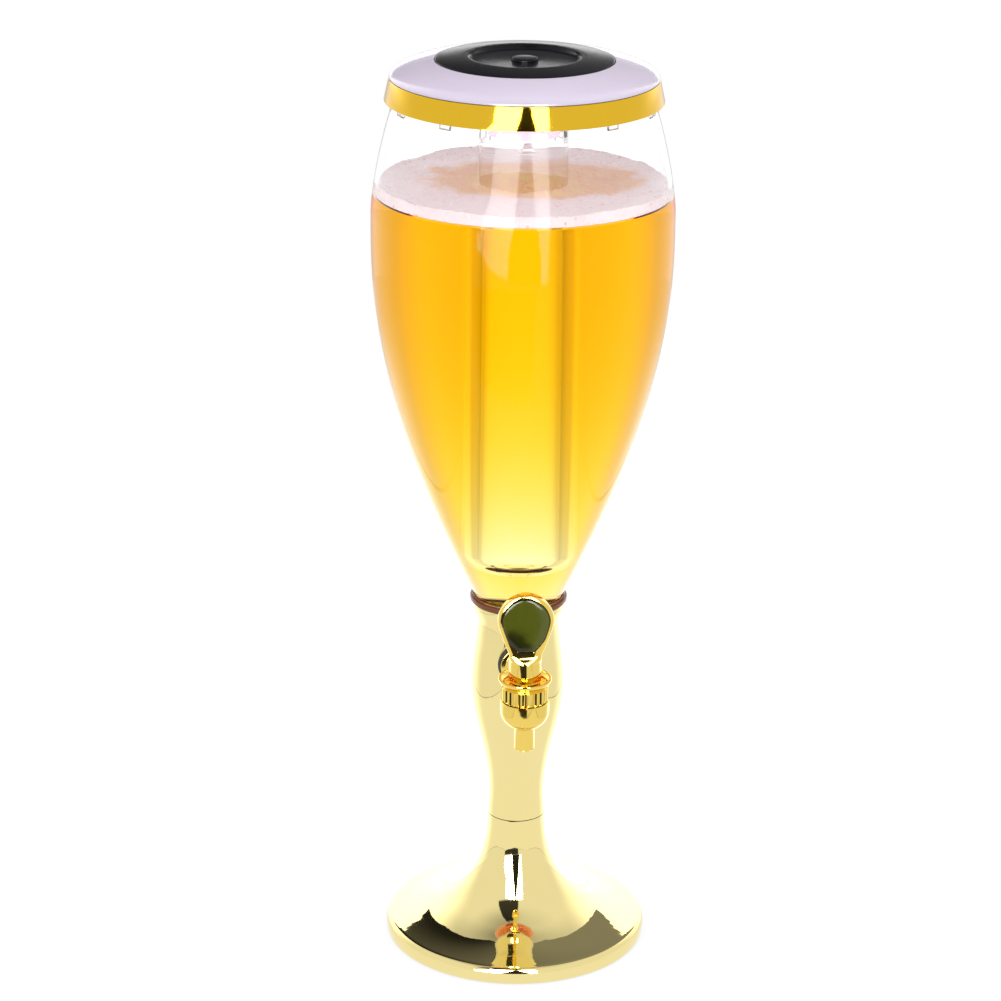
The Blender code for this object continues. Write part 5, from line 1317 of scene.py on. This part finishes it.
    def build_handle(self) -> None:
        """Make the lever and its glossy insert."""
        heel, rounding, hub = -4.5, 2.5, self.hub_radius
        front, thickness = 6.6, 8.6
        back = thickness - front
        power, back_power = 5, 2.4
        blend_start = 9.0
        sections = []
        for step in range(9):
            lean = math.pi / 2 * step / 8
            radius = hub - rounding * (1 - math.sin(lean))
            sections.append(self.section(radius, radius, radius, 2, 2, heel + rounding * (1 - math.cos(lean))))
        for step in range(17):
            t = step / 16
            ease = t * t * (3 - 2 * t)
            height = blend_start + (self.paddle_bottom - blend_start) * t
            sections.append(self.section(hub, hub + (front - hub) * ease, hub + (back - hub) * ease,
                                         2 + (power - 2) * ease, 2 + (back_power - 2) * ease, height))
        for step in range(1, 25):
            height = self.paddle_bottom + (self.paddle_middle - self.paddle_bottom) * step / 24
            sections.append(self.section(self.half_width(height), front, back, power, back_power, height))
        for step in range(1, 26):
            lean = math.pi / 2 * step / 26
            half = thickness / 2 * min(math.sqrt(max(math.cos(lean), 0)) + 0.25, 1)
            centre = (back - front) / 2
            sections.append(self.section(self.paddle_radius * math.cos(lean), half - centre, half + centre, power,
                                         back_power, self.paddle_middle + self.paddle_radius * math.sin(lean)))
        lever = Shape.lofted("lever", sections)
        pocket = Shape.lofted("pocket", [[(x, depth, z) for x, z in self.outline(2.1)] for depth in (-9.0, -4.8)])
        tilt, half, clear = math.radians(self.tilt), 3.3, 4.54
        reach = heel * math.tan(tilt) - half / math.cos(tilt)
        slot = Shape.lofted("slot", [[(-half, reach, z), (half, reach, z), (half, clear, z), (-half, clear, z)]
                                     for z in (-7.0, clear)])
        hole = Shape.turned("hole", [(0, -12), (self.pin_hole, -12), (self.pin_hole, 12), (0, 12)], 32, axis="X")
        Shape.carve(lever, [pocket, slot, hole])
        pivot = Matrix.Translation(Vector((0, -self.reach, self.height + self.pin)) * MM)
        lever.data.transform(pivot)
        self.add(lever, Finishes.GOLD, Body.HANDLE, "tap_handle")

        rings = [(2.4, -5.1), (2.4, -6.3), (2.55, -6.6), (2.9, -6.85), (4.0, -7.1), (5.6, -7.25), (8.0, -7.35),
                 (10.5, -7.4)]
        domed = [[(x, depth, z) for x, z in self.outline(shrink)] for shrink, depth in rings]
        insert = Shape.lofted("lever_insert", domed)
        insert.data.transform(pivot)
        self.add(insert, Finishes.OLIVE, Body.HANDLE, "handle_insert")
        crown = (-self.reach - 6.95) * MM
        self.part(insert, Finishes.OLIVE_EDGE, lambda face: face.center.y > crown)


@dataclass
class IceTube(Assembly):
    """Clear tube for ice that hangs from the lid."""

    top: float = 527.3
    bottom: float = 246.0
    wall: float = 2.0
    corner: float = 9.0
    foot_radius: float = 25.0

    @classmethod
    def wall_radius(cls, height: float) -> float:
        """Outside radius of the tube at a height; it grows by one millimetre up to the top."""
        start = cls.bottom + cls.corner
        return cls.foot_radius + min(max((height - start) / (cls.top - start), 0), 1)

    @classmethod
    def bend(cls, shift: float, angles: range) -> list[Point]:
        """Corner of the foot, moved inward and up by a distance.

        Args:
            shift: how far it is moved each way.
            angles: angles of its points in degrees, 0 at the flat foot and 90 at the wall.

        Returns:
            (radius, height) points.
        """
        radius, height = cls.foot_radius - cls.corner - shift, cls.bottom + cls.corner + shift
        return [(radius + cls.corner * math.sin(angle), height - cls.corner * math.cos(angle))
                for angle in map(math.radians, angles)]

    @classmethod
    def outside(cls, height: float) -> list[Point]:
        """Outside of the tube from its foot up to a height.

        Args:
            height: where the line ends.

        Returns:
            (radius, height) points from the axis upward.
        """
        foot = [(0, 246.8), (7.8, 246.8), (8.9, 246.1), (9.6, cls.bottom), (15.6, cls.bottom)]
        level = [(cls.wall_radius(Bowl.beer_top), Bowl.beer_top)] if height > Bowl.beer_top else []
        return foot + cls.bend(0.0, range(6, 91, 6)) + level + [(cls.wall_radius(height), height)]

    def build(self) -> None:
        """Make the tube with its three lugs."""
        outer = self.outside(self.top - 0.4)
        mouth = [(25.7, self.top), (24.3, self.top), (24.0, self.top - 0.4)]
        inner = self.bend(self.wall, range(90, -1, -6)) + [(0, self.bottom + self.wall)]
        tube = Shape.turned("ice_sleeve", outer + mouth + inner, 128)
        lug = Shape.swept("lugs", Shape.eased([(21.5, 503.3, 0.4), (24.6, 503.3), (24.6, 506.1),
                                               (21.5, 506.1, 0.4)]), (3, 123, 243), 14)
        Shape.carve(tube, [lug], "UNION")
        self.add(tube, Finishes.TUBE_CLEAR, Body.TUBE, "ice_tube")
        self.wet(tube, Bowl.beer_top, outward=True)


@dataclass
class Lid(Assembly):
    """Lid with its clear clip ring, dome, band, cap, button, lamp and plug."""

    seat: float = 530.3

    def at(self, profile: list[Point]) -> list[Point]:
        """Profile given over the lid's seat, lifted to its place."""
        return [(point[0], point[1] + self.seat, *point[2:]) for point in profile]

    def build(self) -> None:
        """Make the lid's pieces."""
        self.build_ring()
        self.build_shell()
        self.build_cap()
        self.build_plug()
        self.keep(Finishes.BLACK_SATIN, "battery_tray", "push_switch")
        self.keep(Finishes.JACKET, "battery_1", "battery_2", "battery_3")
        self.keep(Finishes.STEEL, "battery_contact_left", "battery_contact_right", "lid_screw_1",
                  "lid_screw_2", "lid_screw_3")
        self.keep(Finishes.BOARD, "circuit_board", "led_board")
        self.keep(Finishes.LAMP, "led_1", "led_2", "led_3")

    def build_ring(self) -> None:
        """Make the clear ring with its skirt and lugs."""
        outer = 77.7
        ring = Shape.turned("clip_ring", Shape.eased(self.at([
            (32.0, 0), (69.4, 0), (69.4, -4.0, 0.5), (71.2, -4.0, 0.5), (71.2, 0), (outer, 0, 0.3), (outer, 2.0, 0.3),
            (32.0, 2.0)])), 128)
        lugs = Shape.swept("lugs", Shape.eased(self.at([(76.45, -5.85, 0.5), (78.2, -5.85, 0.9), (78.5, -2.35),
                                                        (77.4, 1.0), (74.8, 1.0)])),
                           (-37, -66.5, -113.5, -143, 37, 66.5, 113.5, 143), 5)
        Shape.carve(ring, [lugs], "UNION")
        self.add(ring, Finishes.CLEAR, Body.LID, "lid_ring")

    def build_shell(self) -> None:
        """Make the gold band and the pearl dome."""
        self.add_turned("gold_band", self.at([(79.2, -2.35, 0.3), (80.6, -2.35, 0.35), (77.7, 10.65, 0.35),
                                              (76.3, 10.65, 0.3)]), 160, Finishes.BAND_GOLD, Body.LID, "lid_band")
        lip, neck, ledge = 77.6, 76.0, 51.9
        base, crown = 10.95, 20.9
        rise = crown - base
        curve = Shape.bezier((lip, 11.1), (lip, base + rise * 0.45),
                             (ledge + (lip - ledge) * 0.35, crown - rise * 0.13), (ledge + 0.3, crown), 32)
        under = [p for p in Shape.offset(curve, 2.0) if ledge + 2.0 < p[0] < neck - 2.0]
        profile = [(neck, 2.3), (neck, base), (lip - 0.15, base)] + curve
        profile += [(ledge, 20.6), (ledge, 18.9), (46.9, 18.9), (46.9, 17.1), (ledge + 2.0, 17.1)]
        profile += under[::-1] + [(neck - 2.0, base), (neck - 2.0, 2.3)]
        dome = Shape.turned("pearl_dome", self.at(profile), 160)
        notch = Shape.swept("notches", self.at([(45.0, 15.1), (49.3, 15.1), (49.3, 19.9), (45.0, 19.9)]),
                            (30, 150, 270), 20)
        Shape.carve(dome, [notch])
        self.add(dome, Finishes.PEARL, Body.LID, "lid_dome")

    def build_cap(self) -> None:
        """Make the black cap with its finger dish, and the button."""
        dish = Shape.bezier((32.9, 22.9), (31.2, 22.9), (31.0, 20.5), (29.0, 20.4), 10)
        top = [(51.4, 19.2, 0.3), (51.4, 21.3, 0.9), (34.5, 22.9, 1.5)]
        cap = Shape.turned("black_cap", Shape.eased(self.at(top)) + self.at(dish) + Shape.eased(self.at([
            (7.9, 20.4, 0.4), (7.9, 18.6), (29.8, 18.6), (34.5, 21.1), (44.6, 20.1), (44.6, 14.8, 0.3),
            (46.4, 14.8, 0.3), (46.4, 19.2)])), 160)
        tabs = Shape.swept("tabs", self.at([(45.5, 14.6), (48.8, 14.6), (48.8, 16.55), (45.5, 16.55)]),
                           (0, 120, 240), 16)
        Shape.carve(cap, [tabs], "UNION")
        self.add(cap, Finishes.BLACK_GLOSS, Body.CAP, "centre_cap")
        self.add_turned("lamp_button", self.at([
            (0, 17.3), (1.5, 17.3), (1.5, 21.1), (6.5, 21.1), (6.5, 17.1), (9.5, 17.1, 0.3), (9.5, 18.3, 0.3),
            (7.6, 18.3), (7.6, 21.3, 0.7), (6.6, 21.9, 0.5), (0, 22.1)]), 64,
            Finishes.BLACK_GLOSS, Body.BUTTON, "light_button")
        low, high, travel = 544.8, 551.1, 1.2
        spring = Shape.coil("press_spring", 5.5, 0.3, low, high, 4)
        self.add(spring, Finishes.STEEL, Body.LID, "button_spring")
        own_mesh(spring)

    def build_plug(self) -> None:
        """Make the clear plug with its hooks, the seal and the lens."""
        plug = Shape.turned("lamp_plug", self.at([
            (19.4, -19.3), (23.0, -19.3), (23.2, -19.1), (23.2, -8.4), (22.1, -8.4), (22.1, -5.4), (23.2, -5.4),
            (23.2, -2.5), (38.8, -2.5), (39.0, -2.3), (39.0, -0.5), (38.8, -0.3), (21.2, -0.3), (21.2, -6.6),
            (18.8, -6.6), (18.8, -8.6), (21.2, -8.6), (21.2, -17.5), (19.4, -17.5)]), 96)
        legs, feet = (Shape.swept(name, self.at([(21.2, -29.3), (23.2, -29.3), (23.2, top), (21.2, top)]), turns,
                                  span)
                      for name, top, turns, span in (("legs", -18.4, (-10, 110, 230), 6),
                                                     ("feet", -27.3, (0, 120, 240), 26)))
        Shape.carve(plug, [legs, feet], "UNION")
        self.add(plug, Finishes.LENS, Body.LID, "tube_plug")
        self.part(plug, Finishes.TUBE_CLEAR, lambda face: face.center.z < (self.seat - 19.35) * MM)
        self.add_turned("plug_ring", self.at([(22.4, -8.1, 0.5), (23.5, -8.1, 0.7), (23.5, -5.7, 0.7),
                                              (22.4, -5.7, 0.5)]), 96, Finishes.SILICONE, Body.LID, "plug_seal")
        self.add_turned("lamp_window", self.at([(0, -21.8), (20.6, -22.0, 0.6), (20.9, -15.2, 0.3), (0, -15.2)]), 96,
                        Finishes.LENS, Body.LID, "lamp_lens")


@dataclass
class Studio:
    """Camera, lamps, world and floor of the photograph."""

    focal_pixels: float = 3129.498
    distance: float = 1.76095
    camera_height: float = 0.926766
    yaw: float = -0.0064996
    pitch: float = 0.3503592
    roll: float = 0.0097405
    turn: float = math.radians(2.6)
    floor_radius: float = 1.4
    floor_front: float = 1.4
    paper_side: float = 0.345
    paper_front: float = 0.48
    floor_dark: Colour = (0.79, 0.79, 0.79)
    floor_pale: Colour = (0.81, 0.81, 0.81)
    floor_glow: float = 0.8
    paper_glow: float = 0.98
    paper_rear_glow: float = 1.1
    diffuse_light: float = 0.62
    mirror_light: float = 0.92
    rear_light: float = 1.2
    least_light: float = 0.3
    peak: float = 2.2
    aim_height: float = 0.3

    def build(self) -> None:
        """Set up the whole studio."""
        self.place_camera()
        self.lay_floor()
        self.light_world()
        self.hang_panels()
        self.hang_lamps()
        scene = bpy.context.scene
        scene.view_settings.view_transform = "Standard"
        scene.cycles.max_bounces = 24
        scene.cycles.transmission_bounces = 22
        scene.cycles.glossy_bounces = 8
        scene.cycles.transparent_max_bounces = 16
        scene.cycles.caustics_reflective = False

    def place_camera(self) -> None:
        """Put the camera where the photograph was taken from."""
        forward = Vector((math.sin(self.yaw) * math.cos(self.pitch), math.cos(self.yaw) * math.cos(self.pitch),
                          -math.sin(self.pitch)))
        right = forward.cross(Vector((0, 0, 1))).normalized()
        up = right.cross(forward)
        across = right * math.cos(self.roll) + up * math.sin(self.roll)
        upward = up * math.cos(self.roll) - right * math.sin(self.roll)
        columns = Matrix((across, upward, -forward)).transposed().to_4x4()
        columns.translation = (0, -self.distance, self.camera_height)
        data = bpy.data.cameras.new("photo_camera")
        data.sensor_width = 36.0
        data.lens = self.focal_pixels * data.sensor_width / IMAGE_PIXELS
        data.clip_start = 0.05
        data.clip_end = 60.0
        camera = bpy.data.objects.new("photo_camera", data)
        camera.matrix_world = Matrix.Rotation(-self.turn, 4, "Z") @ columns
        bpy.context.scene.collection.objects.link(camera)
        bpy.context.scene.camera = camera

    @staticmethod
    def backlight(across: Socket, behind: Socket) -> Socket:
        """Brightness of the backdrop that is seen through the drink, which falls off to both sides.

        Args:
            across: distance sideways from the tower.
            behind: distance behind the tower.

        Returns:
            The brightness in that direction.
        """
        aside = 90 - (across.turn(behind).abs() - 90).abs()
        middle, shoulder_fall, edge_fall = 1.25, 0.35, 0.25
        return middle - aside.above(22, 40) * shoulder_fall - aside.above(50, 85) * edge_fall

    def lay_floor(self) -> None:
        """Lay a pale floor that keeps the object's shadow; mirrors see a paper sheet on it, with a painted dark line
        along its edge, a painted shadow in front and a painted brighter patch behind the tower.
        """
        bm = bmesh.new()
        bmesh.ops.create_circle(bm, cap_ends=True, segments=96, radius=self.floor_radius,
                                matrix=Matrix.Translation((0, self.floor_radius - self.floor_front, 0)))
        mesh = bpy.data.meshes.new("floor")
        bm.to_mesh(mesh)
        bm.free()
        floor = bpy.data.objects.new("floor", mesh)
        bpy.context.scene.collection.objects.link(floor)
        paint, material = Paint.material("floor_paper")
        through, glossy = paint.ray("Transmission"), paint.ray("Glossy")
        seen = (paint.ray("Camera") + glossy + through).above(0.25, 0.75)
        grain = paint.mix(paint.noise(paint.place(), 900.0, 2.0), self.floor_dark, self.floor_pale)
        plain = paint.node("ShaderNodeBsdfDiffuse", None, {"Color": grain})
        x, y = (paint.axis(paint.place(), letter) for letter in "XY")
        mirrored = glossy * (1 - through)
        aside, ahead = x.abs() - self.paper_side, -1 * y - self.paper_front
        outside = aside.larger(ahead)
        # painted shade: a dark line along the paper's edge, seen only in mirrors
        edge = outside.within(0.0, 0.008, 0.001)
        # painted shadow: a dark wedge on the floor in front, seen only in mirrors
        shadow = ahead.above(0.0, 0.01) * (x / y).within(-0.12, 0.78, 0.02)
        away = (x * x + y * y) ** 0.5
        # painted light: a brighter patch of floor behind the tower, seen only in mirrors
        rear = x.turn(-1 * y).abs().above(95, 155) * (1 - away.above(0.5, 1.2))
        paper = self.paper_glow + rear * self.paper_rear_glow - outside.above(0.0, 0.01) * 0.06
        paper = paper * (1 - edge * 0.6) * (1 - shadow * 0.96)
        bright = self.floor_glow + through * (self.backlight(x, y) - 1)
        bright = bright + mirrored * (paper - bright)
        shade = paint.mix((1 - mirrored) * 0.3, BLACK, WHITE)
        dim = paint.node("ShaderNodeBsdfDiffuse", None, {"Color": shade})
        white = paint.node("ShaderNodeAddShader", None, {0: dim, 1: paint.glow(bright, self.peak)})
        paint.finish(paint.node("ShaderNodeMixShader", None, {0: seen, 1: plain, 2: white}))
        mesh.materials.append(material)

    def light_world(self) -> None:
        """Make a white studio that mirrors see brighter behind the tower and darker above it."""
        world = bpy.data.worlds.new("studio")
        bpy.context.scene.world = world
        world.use_nodes = True
        paint = Paint(world.node_tree)
        camera, glossy, through = (paint.ray(kind) for kind in ("Camera", "Glossy", "Transmission"))
        direction = paint.node("ShaderNodeTexCoord", output="Generated")
        x, y, z = (paint.axis(direction, letter) for letter in "XYZ")
        side = x.turn(0 - y)
        lift = paint.node("ShaderNodeMath", {"operation": "ARCSINE"}, {0: z}) * math.degrees(1)
        turned = side.abs()
        raised = lift.above(-6, 2)
        low = turned.above(95, 150) * 0.22 - turned.above(150, 168) * 0.45
        back = turned.above(105, 165) * (self.rear_light - lift.above(28, 55) * 1.5)
        high = lift.above(52, 84) * (0.5 - side.above(-40, 40) * 0.3)
        hood = side.within(-46, 7, 1.5) * lift.within(50, 81, 2.0)
        mirror = self.mirror_light + low * (1 - raised) + back * raised - high
        mirror = mirror.larger(self.least_light) * (1 - hood * 0.95)
        reflected = glossy * mirror + (1 - glossy) * self.diffuse_light
        bright = camera + (1 - camera) * (through * self.backlight(x, y) + (1 - through) * reflected)
        paint.finish(paint.glow(bright, self.peak, "ShaderNodeBackground"), kind="World")

    def hang_panels(self) -> None:
        """Stand the window lights in front and the dark cloths, which only mirrors show."""
        front, rear, window = -1.44, 0.95, 16.0
        panels = (
            ("window_left", front, [(-1.03, 0.02), (-0.34, 0.02), (-0.13, 0.9), (-0.06, 1.75), (-0.72, 1.75),
                                    (-0.72, 0.7), (-1.03, 0.35)], window, window),
            ("window_right", front, [(0.28, 0.0), (0.42, 0.0), (0.47, 1.75), (0.02, 1.75), (0.1, 0.9)],
             window, window),
            ("cloth_front", front - 0.03, [(-0.4, 0.0), (0.3, 0.0), (0.15, 1.5), (-0.2, 1.5)], 0.02, 0.02),
            ("cloth_rear", rear, [(0.26, 0.68), (-0.26, 0.66), (-0.37, 0.68), (-0.46, 0.55), (-0.6, 1.2),
                                  (-0.54, 1.64), (-0.4, 2.5), (0.58, 2.45), (0.71, 1.82), (0.78, 1.36), (0.74, 0.92),
                                  (0.62, 0.58), (0.43, 0.72)], 0.015, 0.25),
        )
        for name, depth, outline, left, right in panels:
            mesh = bpy.data.meshes.new(name)
            mesh.from_pydata([(x, depth, z) for x, z in outline], [], [range(len(outline))])
            panel = bpy.data.objects.new(name, mesh)
            bpy.context.scene.collection.objects.link(panel)
            for ray in ("camera", "diffuse", "transmission", "volume_scatter", "shadow"):
                setattr(panel, f"visible_{ray}", False)
            paint, material = Paint.material(name)
            bright = left + paint.axis(paint.place(), "X").above(-0.5, 0.4) * (right - left)
            paint.finish(paint.glow(bright, max(left, right)))
            mesh.materials.append(material)

    def hang_lamps(self) -> None:
        """Hang a broad soft key lamp and a top lamp."""
        for name, place, size, power in (("key", (-1.3, -1.5, 1.7), 1.2, 16.0), ("top", (0.2, 0.3, 2.3), 1.6, 14.0),
                                         ("fill", (1.6, -0.9, 1.0), 1.2, 7.0)):
            data = bpy.data.lights.new(name, "AREA")
            data.size = size
            data.energy = power
            lamp = bpy.data.objects.new(name, data)
            lamp.location = place
            aim = Vector((0, 0, self.aim_height)) - Vector(place)
            lamp.rotation_euler = aim.to_track_quat("-Z", "Y").to_euler()
            lamp.visible_glossy = False
            lamp.visible_transmission = False
            bpy.context.scene.collection.objects.link(lamp)


def main() -> None:
    """Build the studio and every assembly."""
    logging.basicConfig(level=logging.INFO, format="%(name)s %(message)s")
    Studio().build()
    for assembly in (Foot(), Stem(), Bowl(), Tap(), IceTube(), Lid()):
        assembly.build()
        log.info("%s: %d pieces", type(assembly).__name__, len(assembly.made))


if __name__ == "__main__":
    main()
